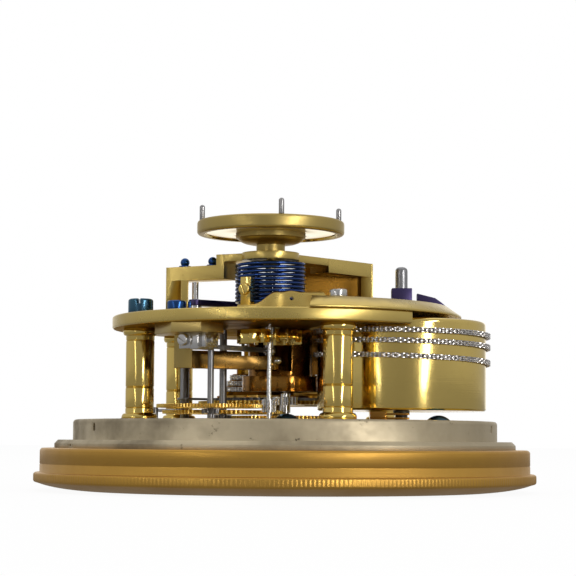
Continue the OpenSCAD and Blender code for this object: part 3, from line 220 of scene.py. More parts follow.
# Tool lines: rings round an upright axis, which the lathe leaves, or straight lines of the stone
lines, got, given = group("tool lines", {"Axis X": 0.0, "Axis Y": 0.0, "Fine": 2500.0, "Along": 0.0},
                          {"Height": float})
where = put_node(lines, "ShaderNodeTexCoord")
split = put_node(lines, "ShaderNodeSeparateXYZ", links={"Vector": where.outputs["Object"]})
from_x = put_node(lines, "ShaderNodeMath", links={0: split.outputs["X"], 1: got.outputs["Axis X"]},
                  operation="SUBTRACT")
from_y = put_node(lines, "ShaderNodeMath", links={0: split.outputs["Y"], 1: got.outputs["Axis Y"]},
                  operation="SUBTRACT")
flat = put_node(lines, "ShaderNodeCombineXYZ", links={"X": from_x.outputs[0], "Y": from_y.outputs[0]})
radius = put_node(lines, "ShaderNodeVectorMath", links={0: flat.outputs[0]}, operation="LENGTH")
turned_at = put_node(lines, "ShaderNodeCombineXYZ", links={"X": radius.outputs["Value"],
                                                           "Y": split.outputs["Z"]})
stoned_at = put_node(lines, "ShaderNodeCombineXYZ", links={"X": from_y.outputs[0], "Y": split.outputs["Z"]})
chosen = mixed(lines, "VECTOR", got.outputs["Along"], turned_at.outputs[0], stoned_at.outputs[0])
ring = put_node(lines, "ShaderNodeTexNoise", {"Detail": 3.0, "Roughness": 0.7},
                {"Vector": chosen, "Scale": got.outputs["Fine"]})
lines.links.new(ring.outputs[0], given.inputs["Height"])


def metal(name, tone, tarnish, polish, uneven=0.08, cloud=60.0, drift=0.2, specks=0.2, axis=(0, 0),
          fine=2500.0, along=0.0, deep=0.0, grain=0.00001, edge=(1, 1, 1)):
    """A worked metal from the two groups; deep is how strongly the tool lines show, and edge tints
    what it mirrors at a glancing angle."""
    made = bpy.data.materials.new(name)
    made.use_nodes = True
    tree = made.node_tree
    shader = tree.nodes["Principled BSDF"]
    shader.inputs["Metallic"].default_value = 1.0
    shader.inputs["Specular Tint"].default_value = (*edge, 1)
    worn = put_node(tree, "ShaderNodeGroup", node_tree=handled)
    for key, value in {"Metal": (*tone, 1), "Tarnish": (*tarnish, 1), "Cloud": cloud, "Drift": drift,
                       "Specks": specks, "Polish": polish, "Uneven": uneven}.items():
        worn.inputs[key].default_value = value
    cut = put_node(tree, "ShaderNodeGroup", node_tree=lines)
    for key, value in {"Axis X": axis[0] * MM, "Axis Y": axis[1] * MM, "Fine": fine, "Along": along}.items():
        cut.inputs[key].default_value = value
    tree.links.new(worn.outputs["Color"], shader.inputs["Base Color"])
    tree.links.new(worn.outputs["Roughness"], shader.inputs["Roughness"])
    scuffs = put_node(tree, "ShaderNodeBump", {"Strength": 0.12, "Distance": grain},
                      {"Height": worn.outputs["Height"]})
    rings = put_node(tree, "ShaderNodeBump", {"Strength": deep, "Distance": grain * 3},
                     {"Height": cut.outputs["Height"], "Normal": scuffs.outputs[0]})
    tree.links.new(rings.outputs[0], shader.inputs["Normal"])
    return made


def piece(name, mesh, material, body, slot, *stands_for):
    """Links a finished mesh, dresses it, hangs it on the empty of the body it rides on and hides the CAD parts it
    stands for.
    """
    made = bpy.data.objects.new(name, mesh)
    bpy.context.scene.collection.objects.link(made)
    if material:
        mesh.materials.clear()
        mesh.materials.append(material)
    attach(made, body)
    if stands_for:
        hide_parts(*stands_for)
    return made


def smooth(mesh, angle=30):
    """Smooth shading that keeps edges sharper than the angle."""
    mesh.shade_smooth()
    mesh.set_sharp_from_angle(angle=math.radians(angle))


def turned(name, profile, centre=(0, 0), around=256, closed=False, wave=None):
    """A lathe-turned mesh: profile points are (radius, height) in mm, from the bottom outwards and up.
    wave(i, point number) may give a small change of radius, as on a coined edge."""
    mesh = bpy.data.meshes.new(name)
    verts, faces = [], []
    rows = []
    for j, (r, z) in enumerate(profile):
        if r < 1e-6:
            rows.append([len(verts)])
            verts.append((centre[0] * MM, centre[1] * MM, z * MM))
            continue
        rows.append(list(range(len(verts), len(verts) + around)))
        for i in range(around):
            a = 2 * math.pi * i / around
            q = r + (wave(i, j) if wave else 0)
            verts.append(((centre[0] + q * math.cos(a)) * MM, (centre[1] + q * math.sin(a)) * MM, z * MM))
    pairs = list(zip(rows, rows[1:])) + ([(rows[-1], rows[0])] if closed else [])
    for low, high in pairs:
        for i in range(around):
            k = (i + 1) % around
            if len(low) == 1 and len(high) == 1:
                continue
            if len(low) == 1:
                faces.append((low[0], high[k], high[i]))
            elif len(high) == 1:
                faces.append((low[i], low[k], high[0]))
            else:
                faces.append((low[i], low[k], high[k], high[i]))
    mesh.from_pydata(verts, [], faces)
    return mesh


def bow(c, r, a0, a1, n):
    """Points on an arc in the lathe profile's plane, angles in degrees."""
    return [(c[0] + r * math.cos(math.radians(a0 + (a1 - a0) * i / n)),
             c[1] + r * math.sin(math.radians(a0 + (a1 - a0) * i / n))) for i in range(n + 1)]


def swell(p, q, r, n):
    """Points on a curve from p to r that leans towards q, without its two ends."""
    return [tuple((1 - t) ** 2 * a + 2 * t * (1 - t) * b + t * t * c for a, b, c in zip(p, q, r))
            for t in (i / n for i in range(1, n))]


teeth_round = 400
lip_edge = (lip_r - 0.5, lip_z - lip_half + 0.1)
lip = bow((lip_r - 0.6, lip_z - lip_half + 0.6), 0.6, -60, 0, 4)
lip += bow((lip_r - 0.6, lip_z + lip_half - 0.6), 0.6, 0, 90, 5)
belly = [(view_r, 0), (foot_r, 0)] + swell((foot_r, 0), ((foot_r + lip_r) / 2 + 1.5, 0.55), lip_edge, 10)
wall = [(bezel_r + 0.12, lip_z + lip_half), (bezel_r, lip_z + lip_half + 0.12), (bezel_r, 6.2),
        (bezel_r - 0.07, 6.27), (bezel_r - 0.07, 6.42), (bezel_r, 6.5)]
wall += bow((bezel_r - 0.8, bezel_h - 0.8), 0.8, 0, 90, 6)
wall += [(glass_seat_r + 0.1, bezel_h), (glass_seat_r, bezel_h - 0.1), (glass_seat_r, 2.6),
         (view_r + 0.1, 2.6), (view_r, 2.5), (view_r, 0.1)]
profile = belly + lip + wall
coined_from, coined_to = len(belly) + 1, len(belly) + 6
mesh = turned("bezel_turned", profile, around=4 * teeth_round, closed=True,
              wave=lambda i, j: (-0.09, -0.02, 0.0, -0.02)[i % 4] if coined_from <= j <= coined_to else 0)
smooth(mesh, 50)
bezel_gold = metal("bezel_gold", (0.62, 0.35, 0.07), (0.34, 0.18, 0.048), 0.3, uneven=0.1, cloud=45,
                   drift=0.3, specks=0.25, fine=1800, deep=0.4, grain=0.00002)
piece("bezel_turned", mesh, bezel_gold, "bezel", "bezel_brass", "bezel")


def dress(node, material):
    """Gives a CAD node that keeps its own mesh its real finish."""
    mesh = nodes[node].data
    mesh.materials.clear()
    mesh.materials.append(material)


def eased(node, material, body, slot, width=0.1, name=None):
    """A copy of a CAD node with its sharp edges broken, as a file or a stone leaves them."""
    mesh = nodes[node].data.copy()
    mesh.name = name or node + "_eased"
    shape = bmesh.new()
    shape.from_mesh(mesh)
    bmesh.ops.remove_doubles(shape, verts=shape.verts, dist=1e-6)
    bmesh.ops.dissolve_limit(shape, angle_limit=math.radians(0.6), verts=shape.verts, edges=shape.edges)
    shape.to_mesh(mesh)
    shape.free()
    made = bpy.data.objects.new(mesh.name, mesh)
    bpy.context.scene.collection.objects.link(made)
    edge = made.modifiers.new("edge", "BEVEL")
    edge.width = width * MM
    edge.segments = 2
    edge.limit_method = "ANGLE"
    edge.angle_limit = math.radians(35)
    edge.use_clamp_overlap = True
    bpy.context.view_layer.update()
    done = bpy.data.meshes.new_from_object(made.evaluated_get(bpy.context.evaluated_depsgraph_get()))
    bpy.data.objects.remove(made)
    done.name = mesh.name
    smooth(done, 40)
    return piece(done.name, done, material, body, slot, node)


eased("glass_ring", bezel_gold, "bezel", "bezel_brass")

# The glass: flat plate glass, ground round and held from the back by its ring.
glass = bpy.data.materials.new("plate_glass")
glass.use_nodes = True
shader = glass.node_tree.nodes["Principled BSDF"]
shader.inputs["Base Color"].default_value = (0.93, 0.98, 0.97, 1)
shader.inputs["Metallic"].default_value = 0.0
shader.inputs["Roughness"].default_value = 0.02
shader.inputs["IOR"].default_value = 1.52
shader.inputs["Transmission Weight"].default_value = 1.0
dress("glass", glass)

# The dial ring: brass silvered long ago, now grey with stains, which are heavier on its left,
# with small knocks and a darker foot.
silver_grey = metal("silver_grey", (0.6, 0.51, 0.35), (0.16, 0.135, 0.1), 0.36, uneven=0.15, cloud=32,
                    drift=0.75, specks=0.8, fine=1500, deep=0.35, grain=0.00003)
tree = silver_grey.node_tree
split = put_node(tree, "ShaderNodeSeparateXYZ", links={
    "Vector": put_node(tree, "ShaderNodeTexCoord").outputs["Object"]})
stained = put_node(tree, "ShaderNodeMapRange", {"From Min": -0.045, "From Max": 0.04, "To Min": 1.3,
                                                "To Max": 0.3},
                   {"Value": split.outputs["X"]})
worn = next(n for n in tree.nodes if n.type == "GROUP" and n.node_tree == handled)
tree.links.new(stained.outputs[0], worn.inputs["Drift"])
eased("dial_ring", silver_grey, "movement", "silvered", 0.15)
dial_silver = metal("dial_silver", (0.78, 0.76, 0.7), (0.5, 0.46, 0.38), 0.4, uneven=0.1, drift=0.3,
                    specks=0.2, fine=4000, deep=0.3)
dress("dial", dial_silver)

# The dial's figures and tracks: engraved and filled with black wax. Twelve stands over the
# small dial of the days, and the seconds are at six.
wax = bpy.data.materials.new("black_wax")
wax.use_nodes = True
tree = wax.node_tree
pitted = put_node(tree, "ShaderNodeTexNoise", {"Scale": 2500.0, "Detail": 3.0},
                  {"Vector": put_node(tree, "ShaderNodeTexCoord").outputs["Object"]})
tree.links.new(mixed(tree, "RGBA", pitted.outputs[0], (0.01, 0.01, 0.012, 1), (0.05, 0.045, 0.04, 1)),
               tree.nodes["Principled BSDF"].inputs["Base Color"])
tree.nodes["Principled BSDF"].inputs["Roughness"].default_value = 0.35
dial_face, twelve_at, wax_proud = 9.2, 52.4, 0.03
seconds_at = tuple(v / MM for v in next(j for j in frame["joints"]
                                        if j["name"] == "seconds_turn")["pos_m"][:2])
days_at = (-seconds_at[0], -seconds_at[1])

marks = bpy.data.node_groups.new("marks round a circle", "GeometryNodeTree")
marks.interface.new_socket("Geometry", in_out="OUTPUT", socket_type="NodeSocketGeometry")
for key, kind in (("Base", "NodeSocketGeometry"), ("Count", "NodeSocketInt"), ("Radius", "NodeSocketFloat"),
                  ("Length", "NodeSocketFloat"), ("Width", "NodeSocketFloat"), ("Height", "NodeSocketFloat"),
                  ("Finish", "NodeSocketMaterial")):
    marks.interface.new_socket(key, in_out="INPUT", socket_type=kind)
given, made = marks.nodes.new("NodeGroupInput"), marks.nodes.new("NodeGroupOutput")
circle = put_node(marks, "GeometryNodeMeshCircle", links={"Vertices": given.outputs["Count"],
                                                          "Radius": given.outputs["Radius"]})
size = put_node(marks, "ShaderNodeCombineXYZ", links={"X": given.outputs["Length"],
                                                      "Y": given.outputs["Width"],
                                                      "Z": given.outputs["Height"]})
stroke = put_node(marks, "GeometryNodeMeshCube", links={"Size": size.outputs[0]})
spot = put_node(marks, "GeometryNodeInputPosition")
facing = put_node(marks, "FunctionNodeAlignRotationToVector", links={"Vector": spot.outputs[0]}, axis="X")
set_out = put_node(marks, "GeometryNodeInstanceOnPoints", links={"Points": circle.outputs[0],
                                                                 "Instance": stroke.outputs[0],
                                                                 "Rotation": facing.outputs[0]})
real = put_node(marks, "GeometryNodeRealizeInstances", links={"Geometry": set_out.outputs[0]})
coat = put_node(marks, "GeometryNodeSetMaterial", links={"Geometry": real.outputs[0],
                                                         "Material": given.outputs["Finish"]})
marks.links.new(coat.outputs[0], made.inputs[0])
mark_socket = {i.name: i.identifier for i in marks.interface.items_tree if i.in_out == "INPUT"}


def marks_mesh(name, count, radius, length, width, height, material, centre, z):
    """The mesh of one circle of marks, moved to its place."""
    holder = bpy.data.objects.new(name, bpy.data.meshes.new(name))
    bpy.context.scene.collection.objects.link(holder)
    run = holder.modifiers.new("marks", "NODES")
    run.node_group = marks
    for key, value in (("Count", count), ("Radius", radius * MM), ("Length", length * MM),
                       ("Width", width * MM), ("Height", height * MM), ("Finish", material)):
        run[mark_socket[key]] = value
    bpy.context.view_layer.update()
    mesh = bpy.data.meshes.new_from_object(holder.evaluated_get(bpy.context.evaluated_depsgraph_get()))
    bpy.data.objects.remove(holder)
    mesh.transform(Matrix.Translation(Vector((centre[0], centre[1], z)) * MM)
                   @ Matrix.Rotation(math.radians(twelve_at), 4, "Z"))
    return mesh


def figure(text, height, centre, radius, bearing):
    """Figures cut round a dial that faces down, their tops outwards."""
    curve = bpy.data.curves.new(text, "FONT")
    curve.body = text
    curve.size = height * MM
    curve.align_x, curve.align_y = "CENTER", "CENTER"
    curve.extrude = wax_proud * MM / 2
    held = bpy.data.objects.new(text, curve)
    bpy.context.scene.collection.objects.link(held)
    bpy.context.view_layer.update()
    mesh = bpy.data.meshes.new_from_object(held.evaluated_get(bpy.context.evaluated_depsgraph_get()))
    bpy.data.objects.remove(held)
    a = math.radians(bearing)
    place = Matrix(((-math.sin(a), math.cos(a), 0, (centre[0] + radius * math.cos(a)) * MM),
                    (math.cos(a), math.sin(a), 0, (centre[1] + radius * math.sin(a)) * MM),
                    (0, 0, -1, dial_face * MM), (0, 0, 0, 1)))
    mesh.transform(place)
    return mesh


parts = []
for k, text in enumerate(("XII", "I", "II", "III", "IIII", "V", "VI", "VII", "VIII", "IX", "X", "XI")):
    if k not in (0, 6):
        parts.append(figure(text, 8.5, (0, 0), 39, twelve_at + 30 * k))
for k in range(10, 61, 10):
    parts.append(figure(str(k), 2.6, seconds_at, 8.6, twelve_at + 6 * k))
for k in range(8, 57, 8):
    parts.append(figure(str(k), 2.6, days_at, 8.6, twelve_at - 150 + 300 * k / 56))
parts.append(marks_mesh("minutes", 60, 46.2, 1.6, 0.22, wax_proud, wax, (0, 0), dial_face))
parts.append(marks_mesh("hours", 12, 45.9, 2.2, 0.7, wax_proud, wax, (0, 0), dial_face))
parts.append(marks_mesh("seconds", 60, 11.4, 1.1, 0.16, wax_proud, wax, seconds_at, dial_face))
for r, centre in ((47.1, (0, 0)), (45.3, (0, 0)), (12, seconds_at), (10.8, seconds_at), (12, days_at),
                  (10.8, days_at)):
    low, high = dial_face - wax_proud / 2, dial_face + wax_proud / 2
    parts.append(turned("track", [(r - 0.08, low), (r + 0.08, low), (r + 0.08, high), (r - 0.08, high)],
                        centre, 180, True))


def joined(name, meshes):
    """One mesh from several."""
    shape = bmesh.new()
    for m in meshes:
        shape.from_mesh(m)
        bpy.data.meshes.remove(m)
    made = bpy.data.meshes.new(name)
    shape.to_mesh(made)
    shape.free()
    return made


piece("dial_figures", joined("dial_figures", parts), wax, "movement", "silvered")

# The frame: two brass plates on turned pillars. The plates are grained round with a stone, and
# the pillars are polished, with fine rings cut at the shoulders and the middle. The underside
# of the top plate is painted a darker, duller brass as painted shade.
brass_tone, brass_dark = (0.66, 0.495, 0.155), (0.38, 0.23, 0.055)
plate_brass = metal("plate_brass", brass_tone, brass_dark, 0.22, drift=0.2, specks=0.35, fine=3500, deep=0.35)
bright_brass = metal("bright_brass", (0.76, 0.56, 0.17), brass_dark, 0.06, uneven=0.06, drift=0.15,
                     specks=0.2, fine=5000, deep=0.15)
plates = {}
for node, width in (("pillar_plate", 0.1), ("top_plate", 0.12), ("barrel_bridge", 0.12)):
    plates[node] = eased(node, plate_brass, "movement", "brass", width)


def partly(made, material, chosen):
    """A second finish for the faces that chosen(centre in mm, normal) picks."""
    made.data.materials.append(material)
    for face in made.data.polygons:
        if chosen(face.center / MM, face.normal):
            face.material_index = 1


# Faces that look down under the top plate get a darker brass with a dimmed glancing tint: painted shade.
under_brass = metal("under_brass", (0.52, 0.37, 0.12), (0.3, 0.17, 0.05), 0.32, drift=0.3,
                    edge=(0.5, 0.34, 0.14))
partly(plates["top_plate"], under_brass, lambda middle, normal: normal.z < -0.9)


def broken(profile, width=0.1, closed=False, sharp=20):
    """The profile with each corner rounded off by a small curve."""
    n = len(profile)
    rounded = []
    for i, q in enumerate(profile):
        if not closed and i in (0, n - 1):
            rounded.append(q)
            continue
        p, r = profile[i - 1], profile[(i + 1) % n]
        back, on = Vector(p) - Vector(q), Vector(r) - Vector(q)
        if back.length < 1e-6 or on.length < 1e-6 or math.degrees(back.angle(on)) > 180 - sharp:
            rounded.append(q)
            continue
        one = tuple(Vector(q) + back.normalized() * min(width, back.length * 0.4))
        two = tuple(Vector(q) + on.normalized() * min(width, on.length * 0.4))
        rounded += [one] + swell(one, q, two, 3) + [two]
    return rounded


pillar_r, pillar_h, pillar_foot, pillar_cap, ring_deep, z_train = 3.5, 22.7, 4.4, 4.2, 0.18, 16.9
pillar_at = ((12.15, -34.4), (-35.8, -7), (-27.9, 24), (25.5, 26))
side = [(0, 0), (pillar_foot - 0.3, 0)] + swell((pillar_foot - 0.3, 0), (pillar_foot + 0.35, 0.9),
                                                (pillar_foot - 0.35, 1.7), 7)
side += [(pillar_foot - 0.35, 1.7), (pillar_r, 1.9)]
for ring_z in (3.15, 8.05, 8.35, pillar_h - 3.05):
    side += [(pillar_r, ring_z - 0.13), (pillar_r - ring_deep, ring_z), (pillar_r, ring_z + 0.13)]
side += [(pillar_r, pillar_h - 1.9), (pillar_cap - 0.25, pillar_h - 1.75)]
side += swell((pillar_cap - 0.25, pillar_h - 1.75), (pillar_cap + 0.3, pillar_h - 0.9),
              (pillar_cap - 0.2, pillar_h), 7)
side += [(pillar_cap - 0.2, pillar_h), (0, pillar_h)]
mesh = joined("pillars_turned", [turned("pillar", [(r, z + z_train) for r, z in broken(side, 0.06)], at, 96)
                                 for at in pillar_at])
smooth(mesh, 45)
piece("pillars_turned", mesh, bright_brass, "movement", "brass", "pillars")

# Screws: heads turned, slotted with a saw and blued over a flame, so the blue goes to straw and
# purple where the heat ran unevenly. The nuts on the bridge stay bright.
blued = metal("blued_steel", (0.05, 0.13, 0.19), (0.04, 0.06, 0.14), 0.12, drift=0.5, specks=0.1, cloud=120)
deep_blue = metal("deep_blued_steel", (0.025, 0.085, 0.26), (0.04, 0.05, 0.16), 0.1, drift=0.4, specks=0.1,
                  cloud=120)
wine = metal("purple_steel", (0.07, 0.055, 0.14), (0.04, 0.03, 0.07), 0.25, drift=0.3, specks=0.1, cloud=150)
steel = metal("bright_steel", (0.62, 0.61, 0.6), (0.3, 0.28, 0.25), 0.14, drift=0.15, specks=0.2, fine=6000,
              deep=0.2)
grey_steel = metal("grey_steel", (0.3, 0.3, 0.31), (0.12, 0.11, 0.1), 0.3, drift=0.3, specks=0.3, fine=6000,
                   deep=0.2)
for node, material in (("pillar_screws", blued), ("plate_screws", blued), ("bridge_nuts", steel)):
    eased(node, material, "movement", "steel" if material is steel else "blued_steel", 0.07)

# The barrel: a brass drum polished bright, with a rounded upper edge, that holds the mainspring.
# The square on its arbor sets the spring up, and the click that holds it is blued to purple.
barrel_at = tuple(v / MM for v in next(j for j in frame["joints"] if j["name"] == "barrel_turn")["pos_m"][:2])
barrel_r, barrel_h, z_barrel, barrel_in = 20.6, 21.7, 19.6, 19.4
side = [(2.03, 0), (barrel_r - 0.4, 0), (barrel_r, 0.4)] + bow((barrel_r - 1, barrel_h - 1), 1, 0, 90, 8)
side += [(barrel_in, barrel_h), (barrel_in, 1.4), (2.03, 1.4)]
mesh = turned("barrel_turned", [(r, z + z_barrel) for r, z in broken(side, 0.08, True)], barrel_at, 256, True)
smooth(mesh, 45)
barrel_brass = metal("barrel_brass", (0.76, 0.57, 0.18), brass_dark, 0.07, uneven=0.06, drift=0.2,
                     specks=0.35, axis=barrel_at, fine=3000, deep=0.2)
piece("barrel_turned", mesh, barrel_brass, "barrel", "brass", "barrel")
eased("barrel_cover", barrel_brass, "barrel", "brass")
dress("mainspring", grey_steel)
eased("barrel_arbor", grey_steel, "barrel_arbor", "dark_steel", 0.05)
eased("setup_square", wine, "barrel_arbor", "blued_steel", 0.12)
click = eased("setup_click", wine, "movement", "blued_steel", 0.1)
click_tip, click_cut = max(v.co.x for v in click.data.vertices), 1.3
for v in click.data.vertices:
    v.co.x -= click_cut * MM if v.co.x > click_tip - 1.5 * MM else 0

# The fusee and the train: the fusee is brass cut with a spiral groove, painted dark brown as painted shade.
# The wheels are stamped from hard brass and crossed out, on arbors of polished steel.
# The fusee's dark brown and the dimmed tint of its glancing reflection are painted shade.
fusee_brass = metal("fusee_brass", (0.42, 0.25, 0.06), (0.16, 0.09, 0.02), 0.1, drift=0.4, specks=0.2,
                    edge=(0.35, 0.22, 0.1))
dress("fusee", fusee_brass)
wheel_brass = metal("wheel_brass", (0.74, 0.53, 0.15), brass_dark, 0.22, drift=0.25, specks=0.2, fine=5000,
                    deep=0.2)
for node in ("great_wheel", "centre_wheel", "third_wheel", "fourth_wheel", "hour_wheel", "motion_work",
             "reserve_wheel"):
    dress(node, wheel_brass)
for node in ("centre_arbor", "escape_arbor", "cannon_pinion"):
    dress(node, steel)
dress("fusee_arbor", metal("shadow_steel", (0.16, 0.12, 0.08), (0.08, 0.06, 0.04), 0.16, drift=0.3,
                           specks=0.2))
for node in ("maintaining_ratchet", "third_arbor", "fourth_arbor"):
    dress(node, grey_steel)

# The chain: hundreds of small steel links on rivets, inner plates between pairs of outer ones.
# It lies along the path of the solid chain, with the finer pitch of a real one. Each link is set
# in its own place by a node tree, which copies the two kinds of link there.
link_r, waist, half_pitch, inner_t, outer_t, link_gap = 0.5, 0.34, 0.5333, 0.42, 0.27, 0.1


def link_plate(shape, low, thick):
    """A waisted plate with two round ends, its edges just broken."""
    ring = [(half_pitch + link_r * math.cos(math.radians(a)), link_r * math.sin(math.radians(a)))
            for a in (-115, -60, -20, 20, 60, 115)]
    ring += [(0, waist)] + [(-x, -y) for x, y in ring] + [(0, -waist)]
    cut = 0.05
    rows = []
    for z, inset in ((low, cut), (low + cut, 0), (low + thick - cut, 0), (low + thick, cut)):
        rows.append([shape.verts.new(((x - math.copysign(inset, x) * (abs(x) > 0.01)) * MM,
                                      (y - math.copysign(inset, y) * (abs(y) > 0.01)) * MM,
                                      z * MM)) for x, y in ring])
    n = len(ring)
    for a, b in zip(rows, rows[1:]):
        for i in range(n):
            shape.faces.new((a[i], a[(i + 1) % n], b[(i + 1) % n], b[i]))
    shape.faces.new(rows[0][::-1])
    shape.faces.new(rows[-1])


def rivet(shape, x, half, r=0.27):
    """A rivet through a link, its ends just domed."""
    rows = [[shape.verts.new(((x + q * math.cos(a)) * MM, q * math.sin(a) * MM, z * MM))
             for a in (math.pi * k / 4 for k in range(8))] for q, z in
            ((r * 0.6, -half - 0.06), (r, -half + 0.02), (r, half - 0.02), (r * 0.6, half + 0.06))]
    for a, b in zip(rows, rows[1:]):
        for i in range(8):
            shape.faces.new((a[i], a[(i + 1) % 8], b[(i + 1) % 8], b[i]))
    shape.faces.new(rows[0][::-1])
    shape.faces.new(rows[-1])


half_stack = inner_t / 2 + link_gap + outer_t
pattern = {}
for name in ("inner_link", "outer_link"):
    shape = bmesh.new()
    if name == "inner_link":
        link_plate(shape, -inner_t / 2, inner_t)
    else:
        link_plate(shape, inner_t / 2 + link_gap, outer_t)
        link_plate(shape, -half_stack, outer_t)
        for x in (-half_pitch, half_pitch):
            rivet(shape, x, half_stack)
    mesh = bpy.data.meshes.new(name)
    shape.to_mesh(mesh)
    shape.free()
    smooth(mesh, 35)
    pattern[name] = bpy.data.objects.new(name, mesh)
    bpy.context.scene.collection.objects.link(pattern[name])

path = []
for node, order in (("chain_on_barrel", lambda p: -p.z), ("chain_run", lambda p: p.y - p.x),
                    ("chain_on_fusee", lambda p: -p.z)):
    shape = bmesh.new()
    shape.from_mesh(nodes[node].data)
    bmesh.ops.remove_doubles(shape, verts=shape.verts, dist=1e-6)
    left, middles = set(shape.verts), []
    while left:
        start = left.pop()
        found, edge_of = {start}, [start]
        while edge_of:
            for e in edge_of.pop().link_edges:
                for w in e.verts:
                    if w not in found:
                        found.add(w)
                        edge_of.append(w)
        left -= found
        middles.append(Vector([(min(v.co[k] for v in found) + max(v.co[k] for v in found)) / 2
                               for k in range(3)]))
    shape.free()
    path += sorted(middles, key=order)
places, turns, outers = [], [], []
gone, wanted, step = 0.0, 0.0, 2 * half_pitch * MM
for a, b in zip(path, path[1:]):
    span = (b - a).length
    while gone + span >= wanted and span > 0:
        places.append(tuple(a.lerp(b, (wanted - gone) / span)))
        turns.append(math.atan2(b.y - a.y, b.x - a.x))
        outers.append(len(outers) % 2 == 0)
        wanted += step
    gone += span
mesh = bpy.data.meshes.new("chain_places")
mesh.from_pydata(places, [], [])
mesh.attributes.new("turn", "FLOAT", "POINT").data.foreach_set("value", turns)
mesh.attributes.new("outer", "BOOLEAN", "POINT").data.foreach_set("value", outers)
chain = bpy.data.objects.new("chain_places", mesh)
bpy.context.scene.collection.objects.link(chain)
chain_steel = metal("chain_steel", (0.66, 0.63, 0.6), (0.14, 0.11, 0.1), 0.1, drift=0.5, specks=0.3,
                    cloud=900)

tree = bpy.data.node_groups.new("links along a chain", "GeometryNodeTree")
for key, kind in (("Places", "NodeSocketGeometry"), ("Inner", "NodeSocketObject"),
                  ("Outer", "NodeSocketObject"), ("Finish", "NodeSocketMaterial")):
    tree.interface.new_socket(key, in_out="INPUT", socket_type=kind)
tree.interface.new_socket("Geometry", in_out="OUTPUT", socket_type="NodeSocketGeometry")
given, made = tree.nodes.new("NodeGroupInput"), tree.nodes.new("NodeGroupOutput")
turn = put_node(tree, "GeometryNodeInputNamedAttribute", {"Name": "turn"}, data_type="FLOAT")
outer = put_node(tree, "GeometryNodeInputNamedAttribute", {"Name": "outer"}, data_type="BOOLEAN")
inner = put_node(tree, "FunctionNodeBooleanMath", links={0: outer.outputs[0]}, operation="NOT")
spin = put_node(tree, "ShaderNodeCombineXYZ", links={"Z": turn.outputs[0]})
parts = []
for key, which in (("Inner", inner.outputs[0]), ("Outer", outer.outputs[0])):
    held = put_node(tree, "GeometryNodeObjectInfo", links={"Object": given.outputs[key]})
    parts.append(put_node(tree, "GeometryNodeInstanceOnPoints",
                          links={"Points": given.outputs["Places"], "Selection": which,
                                 "Instance": held.outputs["Geometry"], "Rotation": spin.outputs[0]}))
both = put_node(tree, "GeometryNodeJoinGeometry")
for part in parts:
    tree.links.new(part.outputs[0], both.inputs[0])
real = put_node(tree, "GeometryNodeRealizeInstances", links={"Geometry": both.outputs[0]})
coat = put_node(tree, "GeometryNodeSetMaterial", links={"Geometry": real.outputs[0],
                                                        "Material": given.outputs["Finish"]})
tree.links.new(coat.outputs[0], made.inputs[0])
run = chain.modifiers.new("links", "NODES")
run.node_group = tree
socket = {i.name: i.identifier for i in tree.interface.items_tree if i.in_out == "INPUT"}
run[socket["Inner"]] = pattern["inner_link"]
run[socket["Outer"]] = pattern["outer_link"]
run[socket["Finish"]] = chain_steel
bpy.context.view_layer.update()
mesh = bpy.data.meshes.new_from_object(chain.evaluated_get(bpy.context.evaluated_depsgraph_get()))
mesh.name = "chain_links"
for old in (chain, *pattern.values()):
    bpy.data.objects.remove(old)
piece("chain_links", mesh, chain_steel, "movement", "dark_steel", "chain_on_barrel", "chain_run",
      "chain_on_fusee")

# Small work round the drive: steel pawl and blade spring, the block under the barrel, and the tall
# pot in the middle. The block and the pot are polished brass painted dark brown as painted shade,
# and a block of the same brown stands behind the pot as a painted shadow of the barrel.
body_of = {n: b for b, ns in frame["record"]["behaviour"]["bodies"].items() for n in ns}
slot_of = {r["node"]: r["material_slot"] for r in frame["record"]["subparts"]}
dressed = {}


def finish_nodes(material, *names, width=0.06):
    """Breaks the edges of CAD nodes, each on its own body, and gives them one finish."""
    for node in names:
        dressed[node] = eased(node, material, body_of[node], slot_of[node], width)


def bar(name, middle, size, turn, material):
    """A plain brass bar with broken edges, turned about the upright, fixed to the movement."""
    shape = bmesh.new()
    bmesh.ops.create_cube(shape, size=1.0, matrix=Matrix.Translation(Vector(middle) * MM)
                          @ Matrix.Rotation(math.radians(turn), 4, "Z")
                          @ Matrix.Diagonal((*(Vector(size) * MM), 1)))
    bmesh.ops.bevel(shape, geom=shape.edges, offset=0.1 * MM, segments=2, affect="EDGES")
    mesh = bpy.data.meshes.new(name)
    shape.to_mesh(mesh)
    shape.free()
    smooth(mesh, 40)
    piece(name, mesh, material, "movement", "brass")


# A dark brown standing for polished brass in shade: painted shade.
pot_brown = metal("pot_brown", (0.34, 0.16, 0.03), (0.1, 0.04, 0.01), 0.1, uneven=0.05, drift=0.5, specks=0.1,
                  cloud=200)
finish_nodes(grey_steel, "maintaining_pawl", "pawl_spring")
finish_nodes(pot_brown, "barrel_cock", "centre_pot")
# A dark block where the barrel's shadow falls behind the pot: painted shadow.
bar("pot_web", (7.7, 3.5, 34.2), (4.2, 2, 10.7), 0, pot_brown)

# The escapement: the escape wheel, and the potence that hangs from the top plate, its lower arm
# painted a darker brown as painted shade. The detent is a blade of spring steel in a foot. One blued
# head holds the potence from above, and its other screws stay bright.
z_deck, potence_leg_x, potence_arm_top = 42.6, -22.2, 36
potence_tan = metal("potence_tan", (0.56, 0.42, 0.15), (0.34, 0.2, 0.07), 0.26, drift=0.25, specks=0.2,
                    fine=4000, along=1.0, deep=0.2)
